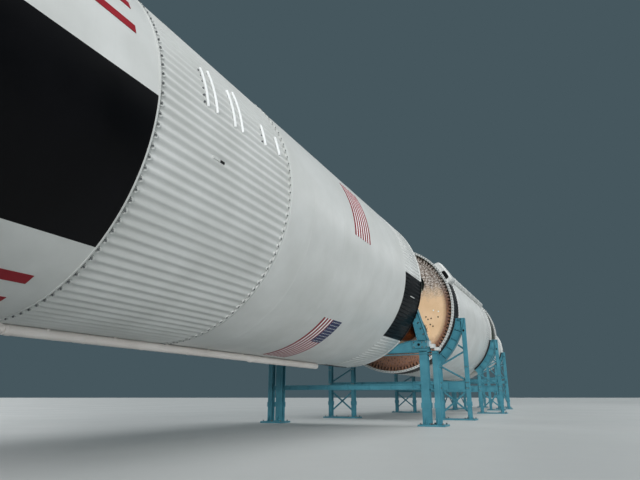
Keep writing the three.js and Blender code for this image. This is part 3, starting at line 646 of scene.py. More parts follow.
def mesh_of(shell, name, chamfer=0.0):
    """The shell's own skins as a mesh, faces outwards, with long sharp edges chamfered."""
    mesh = bpy.data.meshes.new(name)
    mesh.from_pydata(shell.points, [], shell.faces)
    for finish in shell.finishes:
        mesh.materials.append(finish)
    if shell.finishes:
        mesh.polygons.foreach_set("material_index", shell.slots)
    work = bmesh.new()
    work.from_mesh(mesh)
    bmesh.ops.recalc_face_normals(work, faces=work.faces)
    if chamfer:
        sharp = [e for e in work.edges if len(e.link_faces) == 2 and e.calc_face_angle() > math.radians(40)
                 and e.calc_length() > 12 * chamfer]
        bmesh.ops.bevel(work, geom=sharp, offset=chamfer, segments=1, affect="EDGES", clamp_overlap=False)
    work.to_mesh(mesh)
    work.free()
    return mesh


def repeated_mesh(part, finish, counts):
    around, start, turn, rows, row_step = counts
    source = shown("part", mesh_of(part, "part"))
    holder = shown("copies", bpy.data.meshes.new("copies"))
    modifier = holder.modifiers.new("rows", "NODES")
    modifier.node_group = ARRAY_TREE
    values = {"Part": source, "Around": around, "Rows": rows, "Start": float(start), "Turn": float(turn),
              "Row Step": float(row_step), "Finish": finish}
    for name, value in values.items():
        modifier[ARRAY_SOCKETS[name]] = value
    mesh = baked(holder)
    holder.modifiers.remove(modifier)
    drop(holder)
    drop(source)
    return mesh


def joined(name, meshes):
    """One mesh of several, in which each face keeps its finish."""
    finishes = []
    work = bmesh.new()
    for mesh in meshes:
        places = []
        for finish in mesh.materials:
            if finish not in finishes:
                finishes.append(finish)
            places.append(finishes.index(finish))
        first = len(work.faces)
        work.from_mesh(mesh)
        work.faces.ensure_lookup_table()
        for face in work.faces[first:]:
            face.material_index = places[face.material_index]
        bpy.data.meshes.remove(mesh)
    whole = bpy.data.meshes.new(name)
    work.to_mesh(whole)
    work.free()
    for finish in finishes:
        whole.materials.append(finish)
    return whole


def carved(mesh, cutters, operation="DIFFERENCE", overlapping=False):
    """A mesh with closed shells cut from it, or kept only inside one. overlapping is for a mesh whose
    own shells run into each other."""
    made = shown("carved", mesh)
    tools = []
    for cutter in cutters:
        tools.append(shown("cutter", mesh_of(cutter, "cutter")))
        modifier = made.modifiers.new("carve", "BOOLEAN")
        modifier.object = tools[-1]
        modifier.operation = operation
        modifier.solver = "EXACT"
        modifier.use_self = overlapping
    result = baked(made)
    drop(made)
    for tool in tools:
        drop(tool)
    return result


def piece(name, shell, body="airframe", slot="white_paint", stands_for=(), chamfer=0.0, smooth=35.0,
          mesh=None):
    """Makes a shell a piece of the model: it rides on a body and stands for CAD nodes. mesh takes the
    place of the shell's own skins."""
    meshes = [mesh or mesh_of(shell, name, chamfer)]
    for part, finish, counts, base in shell.repeats:
        copies = repeated_mesh(part, finish, counts)
        copies.transform(base)
        meshes.append(copies)
    whole = joined(name, meshes)
    whole.transform(TO_MODEL)
    whole.shade_smooth()
    whole.set_sharp_from_angle(angle=math.radians(smooth))
    made = shown(name, whole)
    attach(made, body)
    if stands_for:
        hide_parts(*stands_for)


def dress(node, kind, shell, **settings):
    """A piece that stands for one CAD node and is named after it."""
    piece(f"{node}_{kind}", shell, stands_for=(node,), **settings)


# Hull skins
def zone(aft, forward, slot=1, other=0):
    """One finish between two stations and another beyond them."""
    return lambda x, angle: slot if aft < x < forward else other


def quarter_paint(aft, forward):
    """White, with black in the alternate eighths between two stations."""
    def paint(x, angle):
        in_panel = any((angle - start) % 360 < PANEL_SWEEP for start in PANEL_STARTS)
        return 1 if in_panel and aft < x < forward else 0
    return paint


def ribbed(base, aft, start, full, waning, end):
    """A skin whose ribs rise from one station to the next and sink between the last two."""
    return [(aft, base), (start, base), (full, base, 1), (waning, base, 1), (end, base)]


SEAM_HALF = 0.05
SEAM_RISE = 0.004
# Skins with welds keep their edges sharp, so that a weld doesn't shade the flat skin beside it
SKIN_SMOOTH = 4.0


def seamed(x0, x1, radius, seams):
    """A straight skin's profile with a raised weld at each seam."""
    points = [(x0, radius)]
    for seam in seams:
        points += [(seam - 1.6 * SEAM_HALF, radius), (seam - SEAM_HALF, radius + SEAM_RISE),
                   (seam + SEAM_HALF, radius + SEAM_RISE), (seam + 1.6 * SEAM_HALF, radius)]
    return points + [(x1, radius)]


def dome_profile(x, radius, height, steps=20):
    """Quarter of an ellipse from a dome's rim to its top."""
    turns = [math.pi / 2 * i / steps for i in range(steps)]
    return [(x + height * math.sin(t), radius * math.cos(t)) for t in turns] + [(x + height, 0)]


# The bolted cover at a dome's top: [station from the top, radius]
DOME_COVER = ((-0.1, 0), (-0.1, 0.62), (0.02, 0.62), (0.06, 0.56), (0.06, 0))


def domed_tank(shell, profile, forward, radius, height, paint):
    """A tank's skin that ends in a dome with lengthwise gore welds and a bolted cover. The shell's
    third finish is the dome's metal."""
    dome = dome_profile(forward, radius - SKIRT_WALL - 0.05, height)
    lathe(shell, profile + dome, paint=paint)
    weld = part_of(bar_along, dome[1:-2], 0.03, 0.02, 0.012)
    shell.repeat(weld, ALUMINIUM, around=8, start=22.5)
    top = forward + height
    lathe(shell, [(top + x, r) for x, r in DOME_COVER], rim(48), 2)
    shell.repeat(face_bolt(top + 0.03, 0.59, 0.03, aft=False), STAINLESS, around=24)


def add_fuel_tank():
    aft, forward = span("fuel_tank")
    shell = Shell(WHITE, BLACK)
    profile = [(aft, 0), *seamed(aft, forward, HULL, (aft + 0.5, aft + 3.1)), (forward, 0)]
    lathe(shell, profile, paint=quarter_paint(aft, forward))
    dress("fuel_tank", "skin", shell, smooth=SKIN_SMOOTH)


# Red bars on the fuel tank: angle below and above
RED_BARS = ((14.7, 17.5), (24.2, 27.0), (-61.9, -58.4), (-72.1, -69.0))
BAR_AFT, BAR_FORWARD = -6.6, -0.74
FILM_RISE = 0.012


def add_red_bars():
    """Plain red bars along the fuel tank, on both sides of the rocket."""
    shell = Shell(RED)
    for low, high in RED_BARS:
        for offset in (0, 180):
            patch(shell, BAR_AFT, BAR_FORWARD, low + offset, high + offset, HULL - 0.02, HULL + FILM_RISE)
    piece("fuel_tank_red_bars", shell)


CORRUGATIONS = 115
CORRUGATION_DEPTH = 0.05
# Raised strips on the intertank: station, lower and upper angle, width, whether holes run beside it
STRIPS = (
    (1.88, 8.6, 24.5, 0.06, True),
    (2.3, 8.7, 26.7, 0.06, False),
    (3.18, 8.8, 24.7, 0.06, False),
    (3.57, 8.8, 27.0, 0.06, False),
    (4.9, 11.0, 20.4, 0.09, True),
    (5.8, 11.6, 20.2, 0.11, False),
)
STRIP_RISE = 0.04
STRIP_HOLE = {"pitch": 2.6, "sweep": 0.45, "reach": 0.11, "length": 0.05}
PORT = {"station": 2.65, "angle": -6.9, "half_length": 0.1, "half_sweep": 0.4}


def end_cap(sign):
    """The pressed end of a corrugation: a bright crescent around a small bolt hole. sign is 1 at the aft
    end and -1 at the forward end."""
    part = Shell()
    steps = 9
    rings = []
    for k in range(steps + 1):
        t = math.pi * k / steps - math.pi / 2
        thick = 0.012 + 0.02 * math.cos(t)
        middle = Vector((sign * 0.075 * math.cos(t), 0.0, 0.07 * math.sin(t)))
        out = Vector((sign * math.cos(t), 0.0, math.sin(t)))
        up = Vector((0.0, -1.0, 0.0))
        offsets = (-out * thick - up * 0.05, -out * 0.6 * thick + up * thick, out * 0.6 * thick + up * thick,
                   out * thick - up * 0.05)
        rings.append([middle + offset for offset in offsets])
    loft(part, rings)
    return part


def add_intertank():
    """Corrugated barrel between two bright end rings, with raised strips and a small port."""
    aft, forward = span("intertank")
    valley = HULL - CORRUGATION_DEPTH
    shell = Shell(WHITE, BRIGHT_WHITE, BOLT_HOLE_SHADE, HOLE_SHADE)
    rise = ((0.1, 0.0), (0.13, 0.3), (0.17, 0.75), (0.22, 0.95), (0.3, 1.0), (0.34, 1.0))
    profile = [(aft, 0), (aft, valley)]
    profile += [(aft + x, valley, share) for x, share in rise]
    profile += [(forward - x, valley, share) for x, share in reversed(rise)]
    profile += [(forward, valley), (forward, 0)]
    lathe(shell, profile, shaped_rim(CORRUGATIONS, WAVE_SECTION, CORRUGATION_DEPTH))
    band(shell, aft, valley, 0.04, CORRUGATION_DEPTH + 0.02)
    band(shell, forward - 0.05, valley, 0.05, CORRUGATION_DEPTH + 0.012)
    middle = 180.0 / CORRUGATIONS
    for sign, station in ((1, aft + 0.1), (-1, forward - 0.1)):
        cap = moved_part(end_cap(sign), shifted(station, -HULL + 0.01, 0))
        shell.repeat(cap, WHITE, around=CORRUGATIONS, start=middle)
        upright = shifted(station + sign * 0.01, -HULL + 0.015, 0) @ quarter_turns("Z")
        # At each corrugation's end a small grey disc is painted shade for its bolt hole, which is not cut
        hole = moved_part(part_of(disc, 0, -0.05, 0.02, 10), upright)
        shell.repeat(hole, BOLT_HOLE_SHADE, around=CORRUGATIONS, start=middle)
    for x, low, high, width, holes in STRIPS:
        edge = 0.25 * width
        # The strips take the brighter white as a painted highlight where the raised strips catch the light
        patch(shell, x, x + width, low, high, HULL - 0.012, HULL + 0.5 * STRIP_RISE, 1)
        patch(shell, x + edge, x + width - edge, low + 0.1, high - 0.1, HULL, HULL + STRIP_RISE, 1)
        # The holes beside a strip are grey patches, painted shade for holes that are not cut
        if holes:
            for k in range(int((high - low) / STRIP_HOLE["pitch"])):
                start = low + 1.0 + STRIP_HOLE["pitch"] * k
                from_x = x - STRIP_HOLE["reach"]
                patch(shell, from_x, from_x + STRIP_HOLE["length"], start, start + STRIP_HOLE["sweep"],
                      HULL - 0.05, HULL + 0.006, 2)
    x, angle = PORT["station"], PORT["angle"]
    reach, sweep = PORT["half_length"], PORT["half_sweep"]
    patch(shell, x - 4.0 * reach, x - reach, angle - sweep, angle + sweep, HULL - 0.05, HULL + 0.008)
    # The port's opening is a near-black plate, painted shade for a hole that is not cut
    patch(shell, x - reach, x + reach, angle - sweep, angle + sweep, HULL - 0.05, HULL + 0.006, 3)
    dress("intertank", "skin", shell, smooth=42.0)


# Stations of the tanks' raised welds, and the heights of their domes
OXIDIZER_SEAMS, OXIDIZER_DOME = (8.4, 11.3, 14.9, 17.7), 2.9
SECOND_SEAMS, SECOND_DOME = (37.3, 39.75, 42.2, 44.65, 47.1), 2.6
THIRD_SEAMS, THIRD_DOME = (65.6, 67.3, 69.0), 1.6


def add_oxidizer_tank():
    aft, _ = span("oxidizer_tank")
    forward = span("first_stage_forward_skirt")[0]
    shell = Shell(WHITE, BLACK, ALUMINIUM)
    profile = [(aft, 0), (aft, HULL - 0.06), (aft + 0.08, HULL)]
    profile += seamed(aft + 0.1, forward - 0.06, HULL, OXIDIZER_SEAMS)
    profile += [(forward - 0.05, HULL), (forward - 0.04, HULL - 0.05), (forward, HULL - 0.05)]
    domed_tank(shell, profile, forward, HULL, OXIDIZER_DOME, zone(forward - 0.01, math.inf, 2))
    dress("oxidizer_tank", "skin", shell, smooth=SKIN_SMOOTH)


# Striped panels on the oxidizer tank: aft and forward stations, lower and upper angles, and whether a
# blue field covers the forward half at the top. Stripes run around the hull.
STRIPED_PANELS = (
    (12.3, 14.2, -84.0, -44.7, True),
    (12.45, 14.35, 0.5, 31.5, False),
)
STRIPE_COUNT = 13
FIELD_LENGTH = 0.5
FIELD_SWEEP = 0.42


def add_striped_panels():
    """Red stripes, and on the lower panels a blue field of white dots, on both sides of the rocket."""
    shell = Shell(RED, BRIGHT_WHITE, BLUE)
    base = HULL - 0.02
    for aft, forward, low, high, has_field in STRIPED_PANELS:
        pitch = (forward - aft) / STRIPE_COUNT
        field_aft = forward - FIELD_LENGTH * (forward - aft)
        sweep = FIELD_SWEEP * (high - low)
        for start in (low, low + 180):
            end = start + high - low
            patch(shell, aft, forward, start, end, base, HULL + 0.5 * FILM_RISE, 1)
            for k in range(0, STRIPE_COUNT, 2):
                x = aft + k * pitch
                beside_field = has_field and x > field_aft - pitch / 2
                top = end - sweep if beside_field else end
                patch(shell, x, x + pitch, start, top, base, HULL + FILM_RISE, 0)
            if has_field:
                patch(shell, field_aft, forward, end - sweep, end, base, HULL + 1.4 * FILM_RISE, 2)
                dot_aft, dot_top = field_aft + 0.08, HULL + 2.0 * FILM_RISE
                dot = part_of(patch, dot_aft, dot_aft + 0.035, -0.2, 0.2, HULL, dot_top)
                shell.repeat(dot, BRIGHT_WHITE, around=8, start=end - sweep + 1.2, turn=(sweep - 2.4) / 7,
                             rows=6, row_step=(forward - field_aft - 0.18) / 5)
    piece("oxidizer_tank_striped_panels", shell)


# Forward skirts: radius, number and height of the ribs, stations of the ring frames, number of bolts
SKIRTS = {
    "first": (HULL, 144, 0.015, (21.0, 21.8, 22.6), 144),
    "second": (HULL, 144, 0.03, (49.3, 50.2, 51.1), 120),
    "third": (THIRD, 108, 0.025, (71.6, 72.6), 96),
}
# A ring frame's section: [station, distance inwards from the wall]
FRAME_SECTION = ((0, 0), (0, 0.22), (-0.08, 0.22), (-0.08, 0.25), (0.11, 0.25), (0.11, 0.22), (0.03, 0.22),
                 (0.03, 0))
# The small white mark on the first stage's near black panel: stations, angles and rise
SKIRT_MARK = ((21.3, 21.9, -14.3, -13.8, 0.03), (21.9, 22.0, -14.2, -13.9, 0.05))


def add_forward_skirt(stage, black=False, marks=()):
    """A ribbed skirt with a bolting flange turned inwards at its forward end, ring frames and inner
    stringers."""
    node = f"{stage}_stage_forward_skirt"
    aft, forward = span(node)
    radius, ribs, rib_height, frames, bolts = SKIRTS[stage]
    shell = Shell(WHITE, BLACK, PRIMER, ALUMINIUM)
    paint = quarter_paint(aft, forward + 1) if black else None
    inner = radius - SKIRT_WALL
    flange, base, root = inner - 0.2, radius - rib_height, forward - 0.12
    profile = ribbed(base, aft, aft + 0.06, aft + 0.1, forward - 0.2, forward - 0.16)
    profile += [(root, base), (root, inner), (aft, inner)]
    lathe(shell, profile, shaped_rim(ribs, HAT_SECTION, rib_height + 0.01), paint=paint)
    lathe(shell, ((root, radius - 0.01), (forward - 0.1, radius + 0.02), (forward, radius + 0.02),
                  (forward, flange), (root, flange)), rim(ribs), paint=paint)
    hoop(shell, aft + 0.01, forward - 0.13, inner + 0.01, inner - 0.02, ribs, 2)
    for x in frames:
        lathe(shell, [(x + along, inner - drop) for along, drop in FRAME_SECTION], rim(ribs), slot=2)
    stringer = part_of(block, (aft + 0.15, -inner, -0.04), (forward - 0.16, -inner + 0.1, 0.04))
    shell.repeat(stringer, PRIMER, around=ribs // 2)
    shell.repeat(face_bolt(forward, inner - 0.08, 0.035, aft=False), STAINLESS, around=bolts)
    for x0, x1, low, high, rise in marks:
        patch(shell, x0, x1, low, high, radius - 0.05, radius + rise, 0)
    dress(node, "shell", shell)


# Lengths of the cable tunnels, as in the CAD model: aft and forward stations and radius
TUNNEL_LENGTHS = ((-12.9, 0.5, 0.12), (0.48, 12.0, 0.145), (11.98, 18.9, 0.157))
TUNNEL_JOINT_STEP = 2.4


def cable_tunnel(node, angle):
    """A pipe in jointed lengths that touches the hull's lowest or highest line, with clips under it."""
    shell = Shell(CREAM)
    for k, (aft, forward, radius) in enumerate(TUNNEL_LENGTHS):
        tube = Shell(CREAM)
        end = [(forward, radius)]
        if k == len(TUNNEL_LENGTHS) - 1:
            turns = [math.pi * step / 14 for step in range(7)]
            end = [(forward - radius + radius * math.sin(t), radius * math.cos(t)) for t in turns]
        lathe(tube, [(aft, 0), (aft, radius), *end, (forward, 0)], rim(28))
        x = aft + 0.1
        while x < forward - 0.4:
            band(tube, x, radius, 0.1, 0.008, steps=28)
            block(tube, (x + 1.1, 0.6 * radius, -0.8 * radius), (x + 1.2, radius, 0.8 * radius))
            x += TUNNEL_JOINT_STEP
        shell.take(tube, shifted(0, -HULL - radius - 0.003, 0))
    dress(node, "pipe", moved_part(shell, about_x(angle)))


# Engine fairings: leaning cones behind each outboard engine's corner of the hull, as in the CAD model
FAIRING_CENTRES = (4.62, 4.85)
FAIRING_RADII = (2.3, 0.3)
FAIRING_WALL = 0.1
FAIRING_RIBS = 56


def leaning(aft, forward):
    """Shears a cone on X so that its middle leans from one distance from the axis to another."""
    lean = (FAIRING_CENTRES[1] - FAIRING_CENTRES[0]) / (forward - aft)
    sheared = (-lean, 1, 0, -(FAIRING_CENTRES[0] - lean * aft))
    return Matrix(((1, 0, 0, 0), sheared, (0, 0, 1, 0), (0, 0, 0, 1)))


def engine_fairing(k, angle):
    """A ribbed, leaning cone with hoops, cut where the hull runs through it."""
    node = f"engine_fairing_{k}"
    aft, forward = span("engine_fairing_1")
    radius = taper(aft, FAIRING_RADII[0], forward, FAIRING_RADII[1])
    cone = Shell(WHITE, BLACK, SOOT_AND_SHADE)
    rise = 0.035
    rib_rows = ((aft, 0), (aft + 0.15, 0), (aft + 0.2, 1), (forward - 0.9, 1), (forward - 0.8, 0))
    inner_forward = forward - 1.2
    profile = [(x, radius(x) - rise, share) for x, share in rib_rows]
    profile += [(forward, FAIRING_RADII[1]), (forward, 0.02), (inner_forward, 0.02),
                (inner_forward, radius(inner_forward) - FAIRING_WALL),
                (aft, radius(aft) - FAIRING_WALL - rise)]
    lathe(cone, profile, shaped_rim(FAIRING_RIBS, HAT_SECTION, rise))
    for x in (aft, aft + 1.9, aft + 3.8):
        band(cone, x, radius(x + 0.05) - 0.02, 0.12, 0.05, steps=96)
    hull = part_of(disc, aft - 1, forward + 1, HULL + 0.004)
    turned = moved_part(cone, about_x(angle) @ leaning(aft, forward))
    dress(node, "skin", Shell(), mesh=carved(mesh_of(turned, node), [hull], overlapping=True))


# Fins, as in the CAD model: distances from the axis and half thicknesses at root and tip, and how far
# the leading edge sweeps back
FIN_RADII = (5.6, 9.6)
FIN_HALVES = (0.22, 0.1)
FIN_SWEEP = 2.9
# A fin's near side from the trailing edge forwards: [share of the chord, share of the half thickness]
FIN_SECTION = ((0.0, 0.25), (0.45, 1.0), (0.93, 0.16), (1.0, 0.0))
FIN_STATIONS = 7
FIN_LAPS = (0.35, 0.68, 0.97)


def fin(k, angle):
    """A swept fin: a thin diamond section with a metal leading edge and panel laps, cut where it meets
    its fairing."""
    node = f"fin_{k}"
    aft, root_forward = span("fin_1")
    blade = Shell(WHITE, ALUMINIUM)

    def section(share, grow=0.0):
        radius = FIN_RADII[0] + share * (FIN_RADII[1] - FIN_RADII[0])
        half = FIN_HALVES[0] + share * (FIN_HALVES[1] - FIN_HALVES[0]) + grow
        chord = root_forward - share * FIN_SWEEP - aft
        near = [(aft + part * chord, -radius, -thick * half) for part, thick in FIN_SECTION]
        far = [(aft + part * chord, -radius, thick * half) for part, thick in reversed(FIN_SECTION[:-1])]
        return near + far
    shares = [i / FIN_STATIONS for i in range(FIN_STATIONS + 1)]
    loft(blade, [section(share) for share in shares], paint=lambda station, side: 1 if side in (2, 3) else 0)
    for share in FIN_LAPS:
        loft(blade, [section(share, 0.012), section(share + 0.02, 0.012)])
    fairing_aft, fairing_forward = span("engine_fairing_1")
    cone = part_of(lathe, ((fairing_aft - 0.5, 0), (fairing_aft - 0.5, FAIRING_RADII[0] + 0.1),
                           (fairing_forward, FAIRING_RADII[1]), (fairing_forward, 0)), rim(64))
    hull = part_of(disc, fairing_aft - 1, fairing_forward + 1, HULL)
    inside = moved_part(cone, leaning(fairing_aft, fairing_forward))
    mesh = carved(mesh_of(blade, node), [inside, hull], overlapping=True)
    mesh.transform(about_x(angle))
    dress(node, "skin", Shell(), mesh=mesh)


# Gimbals, as in the CAD model: reach to an ear's inner face, its thickness, half width, pin and core
BIG_GIMBAL = {"reach": 0.22, "ear": 0.09, "half": 0.13, "pin": 0.09, "core": 0.13}
SMALL_GIMBAL = {"reach": 0.15, "ear": 0.06, "half": 0.08, "pin": 0.055, "core": 0.085}
GIMBAL_GAP = 0.003


def gimbal_block(gimbal):
    """A forged cross: a core, two upright and two sideways pins with collars."""
    shell = Shell(CAST, STAINLESS)
    core, pin = gimbal["core"], gimbal["pin"]
    arm = gimbal["reach"] - GIMBAL_GAP
    half = 0.96 * core
    block(shell, (-half, -half, -half), (half, half, half))
    pins = Shell(STAINLESS)
    disc(pins, -arm, arm, pin, 24)
    for side in (-1, 1):
        disc(pins, side * 0.9 * core, side * 1.25 * core, 1.25 * pin, 24)
    for axis in ("Y", "Z"):
        shell.take(pins, quarter_turns(axis))
    return shell


def ear(gimbal, root, side, upright):
    """A lug with a round end at the pivot: root is the station of its square end."""
    half = gimbal["half"]
    sign = 1 if root > 0 else -1
    turns = [math.pi * k / 10 - math.pi / 2 for k in range(11)]
    outline = [(-sign * half * math.cos(t), half * math.sin(t)) for t in turns]
    outline += [(root, half * 1.15), (root, -half * 1.15)]
    near, far = side * gimbal["reach"], side * (gimbal["reach"] + gimbal["ear"])
    shell = Shell(CAST, STAINLESS)
    prism(shell, [[(x, a, face) if upright else (x, face, a) for x, a in outline] for face in (near, far)])
    if upright:
        nut_place = shifted(0, 0, far) @ quarter_turns("Y", side)
    else:
        nut_place = shifted(0, far, 0) @ quarter_turns("Z", -side)
    shell.take(hexagon_bolt(0.55 * gimbal["pin"], 0.35 * gimbal["pin"], STAINLESS), nut_place)
    return shell


def add_collars(shell, finish, mounts, ring, bolt):
    """A bolted collar around each engine's place, from a hoop's and a face bolt's sizes."""
    collar = part_of(hoop, *ring, finish=finish)
    collar.repeat(face_bolt(*bolt), STAINLESS, around=24)
    for mount in mounts:
        shell.take(collar, shifted(0, mount.y, mount.z))


def add_ears(shell, gimbal, root, places, upright):
    for place in places:
        for side in (-1, 1):
            shell.take(ear(gimbal, root, side, upright), shifted(*place))


def bell_profile(points, steps=3):
    """More points along a bell's outline, on a smooth curve through the given ones."""
    smooth = []
    count = len(points)
    for k in range(count - 1):
        p0, p1 = Vector(points[max(k - 1, 0)]), Vector(points[k])
        p2, p3 = Vector(points[k + 1]), Vector(points[min(k + 2, count - 1)])
        for i in range(steps):
            t = i / steps
            value = 0.5 * (2 * p1 + (p2 - p0) * t + (2 * p0 - 5 * p1 + 4 * p2 - p3) * t * t
                           + (3 * p1 - p0 - 3 * p2 + p3) * t ** 3)
            smooth.append((value.x, value.y))
    return smooth + [tuple(points[-1])]


def bell_radius(points, x):
    """The radius of an outline at a station."""
    for (x0, r0), (x1, r1) in zip(points, points[1:]):
        if x1 <= x <= x0:
            return r0 + (r1 - r0) * (x - x0) / (x1 - x0)
    return points[-1][1]


TUBE_RISE = 0.02
SKIRT_STEPS = 96


def lathe_lined(shell, outer, inner, around, inner_slot):
    """A closed wall whose inner side has a finish of its own."""
    before = len(shell.faces)
    lathe(shell, outer + inner, around)
    for k in range(before, len(shell.faces)):
        if (k - before) // len(around) >= len(outer):
            shell.slots[k] = inner_slot


def tube_wall(shell, outline, tubes, thickness, inner_slot):
    """A wall of cooling tubes side by side, seen from outside and inside."""
    wall = bell_profile(outline)
    outer = [(x, r, 1.0) for x, r in wall]
    inner = [(x, r - thickness, -0.6) for x, r in reversed(wall)]
    lathe_lined(shell, outer, inner, shaped_rim(tubes, TUBE_SECTION, TUBE_RISE), inner_slot)


def plain_skirt(shell, outline, thickness, inner_slot, laps=0):
    """A sheet-metal nozzle skirt, with lapped hoops on its outside."""
    wall = bell_profile(outline)
    inner = [(x, r - thickness) for x, r in reversed(wall)]
    lathe_lined(shell, wall, inner, rim(SKIRT_STEPS), inner_slot)
    first, last = outline[0][0], outline[-1][0]
    for k in range(laps):
        x = first + (last - first) * (k + 0.5) / laps
        band(shell, x - 0.03, bell_radius(wall, x), 0.06, 0.015, steps=SKIRT_STEPS)


# The big engine from the pivot backwards: outlines are [x, radius], and a duct is a path, its radius and
# its finish's slot
BIG = {
    "gimbal": BIG_GIMBAL, "ear_root": -0.5,
    "dome": ((-0.34, 0), (-0.34, 0.3), (-0.38, 0.42), (-0.48, 0.5), (-0.58, 0.52), (-0.58, 0.6), (-0.72, 0.6),
             (-0.72, 0)),
    "dome_steps": 64, "bolt": (-0.72, 0.56, 0.025), "bolts": 40,
    "wall": ((-0.7, 0.5), (-1.35, 0.53), (-1.75, 0.45), (-2.3, 0.7), (-2.9, 1.06)),
    "tubes": 100, "thickness": 0.07, "throat": (-0.74, -0.8, 0.44, 48),
    "hoops": (-0.95, -1.2, -1.55, -1.8, -2.0, -2.2, -2.4, -2.6, -2.78), "hoop_rise": 1.0, "hoop_slot": 0,
    "ducts": (
        (((-0.86, -0.36, 0.94), (-0.86, -0.62, 0.7), (-0.62, -0.6, 0.3), (-0.52, -0.42, 0.12)), 0.1, 0),
        (((-0.86, 0.36, 0.94), (-0.86, 0.62, 0.7), (-0.62, 0.6, 0.3), (-0.52, 0.42, 0.12)), 0.1, 0),
        (((-1.29, -0.36, 0.9), (-1.3, -0.7, 0.5), (-1.0, -0.66, 0.0), (-0.8, -0.5, -0.1)), 0.085, 0),
        (((-1.29, 0.36, 0.9), (-1.3, 0.7, 0.5), (-1.0, 0.66, 0.0), (-0.8, 0.5, -0.1)), 0.085, 0),
        (((-1.98, 0, 0.94), (-2.25, 0, 1.0), (-2.6, 0, 1.2), (-3.1, 0, 1.3)), 0.2, 0),
        (((-1.2, -0.3, 1.1), (-1.5, -0.5, 1.0), (-1.75, -0.42, 0.8)), 0.05, 2),
        (((-1.0, 0.3, 1.1), (-1.5, 0.48, 1.05), (-1.8, 0.4, 0.85)), 0.05, 2),
        (((-0.62, 0.12, -0.55), (-1.4, 0.2, -0.68), (-2.1, 0.15, -0.78), (-2.8, 0.1, -1.15)), 0.04, 2),
        (((-0.62, -0.2, -0.55), (-1.4, -0.26, -0.68), (-2.1, -0.22, -0.78), (-2.8, -0.2, -1.15)), 0.03, 2),
    ),
    "bend": 0.3, "duct_sides": 16,
}
BIG_SKIRT = ((-3.38, 1.3), (-4.0, 1.5), (-4.7, 1.69), (-5.42, 1.84))
BIG_JOINT = ((-2.86, 1.05), (-2.92, 1.13), (-3.3, 1.33), (-3.44, 1.36), (-3.44, 1.27), (-2.9, 1.0))
BIG_LIP = ((-5.38, 1.84), (-5.38, 1.875), (-5.46, 1.88), (-5.46, 1.82))
BIG_PUMP = (
    (-0.62, 0), (-0.62, 0.2), (-0.7, 0.24), (-0.76, 0.34), (-0.95, 0.36), (-1.0, 0.27), (-1.14, 0.27),
    (-1.18, 0.37), (-1.4, 0.37), (-1.45, 0.3), (-1.6, 0.3), (-1.64, 0.37), (-1.92, 0.36), (-2.02, 0.24),
    (-2.08, 0),
)
BIG_GENERATOR = ((-1.5, 0), (-1.5, 0.1), (-1.56, 0.17), (-1.72, 0.19), (-1.88, 0.15), (-1.92, 0))
PUMP_HEIGHT = 0.94

# The small engine, in the same way. Its two pumps share an outline: [share of length, share of radius]
SMALL = {
    "gimbal": SMALL_GIMBAL, "ear_root": -0.32,
    "dome": ((-0.24, 0), (-0.24, 0.16), (-0.28, 0.25), (-0.36, 0.3), (-0.46, 0.31), (-0.46, 0.36),
             (-0.56, 0.36), (-0.56, 0.28), (-0.62, 0.28), (-0.62, 0)),
    "dome_steps": 48, "bolt": (-0.56, 0.335, 0.016), "bolts": 28,
    "wall": ((-0.6, 0.27), (-0.85, 0.2), (-1.15, 0.34), (-1.6, 0.58), (-2.4, 0.82), (-3.3, 0.985)),
    "tubes": 72, "thickness": 0.045, "throat": (-0.6, -0.64, 0.2, 32),
    "hoops": (-1.35, -1.8, -2.15, -2.5, -2.85, -3.1), "hoop_rise": 0.6, "hoop_slot": 2,
    "ducts": (
        (((-0.62, -0.16, -0.47), (-0.62, -0.42, -0.3), (-0.5, -0.4, 0.0), (-0.48, -0.28, 0.05)), 0.05, 2),
        (((-0.6, 0.16, 0.47), (-0.62, 0.42, 0.3), (-0.5, 0.4, 0.0), (-0.48, 0.28, -0.05)), 0.05, 2),
        (((-1.08, 0, -0.5), (-1.3, -0.35, -0.5), (-1.3, -0.62, 0.0), (-1.25, -0.35, 0.5), (-1.0, 0, 0.5)),
         0.05, 0),
        (((-1.0, 0.06, 0.55), (-1.4, 0.1, 0.72), (-2.25, 0.1, 0.84)), 0.06, 0),
        (((-0.5, 0.1, -0.33), (-1.0, 0.16, -0.42), (-1.58, 0.15, -0.58)), 0.03, 2),
    ),
    "bend": 0.2, "duct_sides": 12,
}
SMALL_LIP = ((-3.28, 0.99), (-3.28, 1.01), (-3.38, 1.015), (-3.38, 0.96))
SMALL_PUMP = ((0, 0), (0, 0.5), (0.12, 0.95), (0.3, 1.0), (0.36, 0.72), (0.55, 0.72), (0.6, 0.98),
              (0.85, 0.95), (0.95, 0.6), (1.0, 0))


def engine_core(engine, inside):
    """What both kinds of engine have: dome, tube-walled bell with hoops, ducts and two ears."""
    shell = Shell(NICKEL, CAST, STAINLESS, inside)
    lathe(shell, engine["dome"], rim(engine["dome_steps"]), 1)
    shell.repeat(face_bolt(*engine["bolt"]), STAINLESS, around=engine["bolts"])
    tube_wall(shell, engine["wall"], engine["tubes"], engine["thickness"], 3)
    disc(shell, *engine["throat"], 3)
    wall = bell_profile(engine["wall"])
    for x in engine["hoops"]:
        radius = bell_radius(wall, x) + engine["hoop_rise"] * TUBE_RISE
        band(shell, x, radius, 0.05, 0.03, engine["hoop_slot"], 64)
    for path, radius, slot in engine["ducts"]:
        smooth_path = rounded(path, engine["bend"])
        pipe(shell, smooth_path, radius, engine["duct_sides"], slot, flanges=0.35 * radius)
    add_ears(shell, engine["gimbal"], engine["ear_root"], [(0, 0, 0)], upright=False)
    return shell


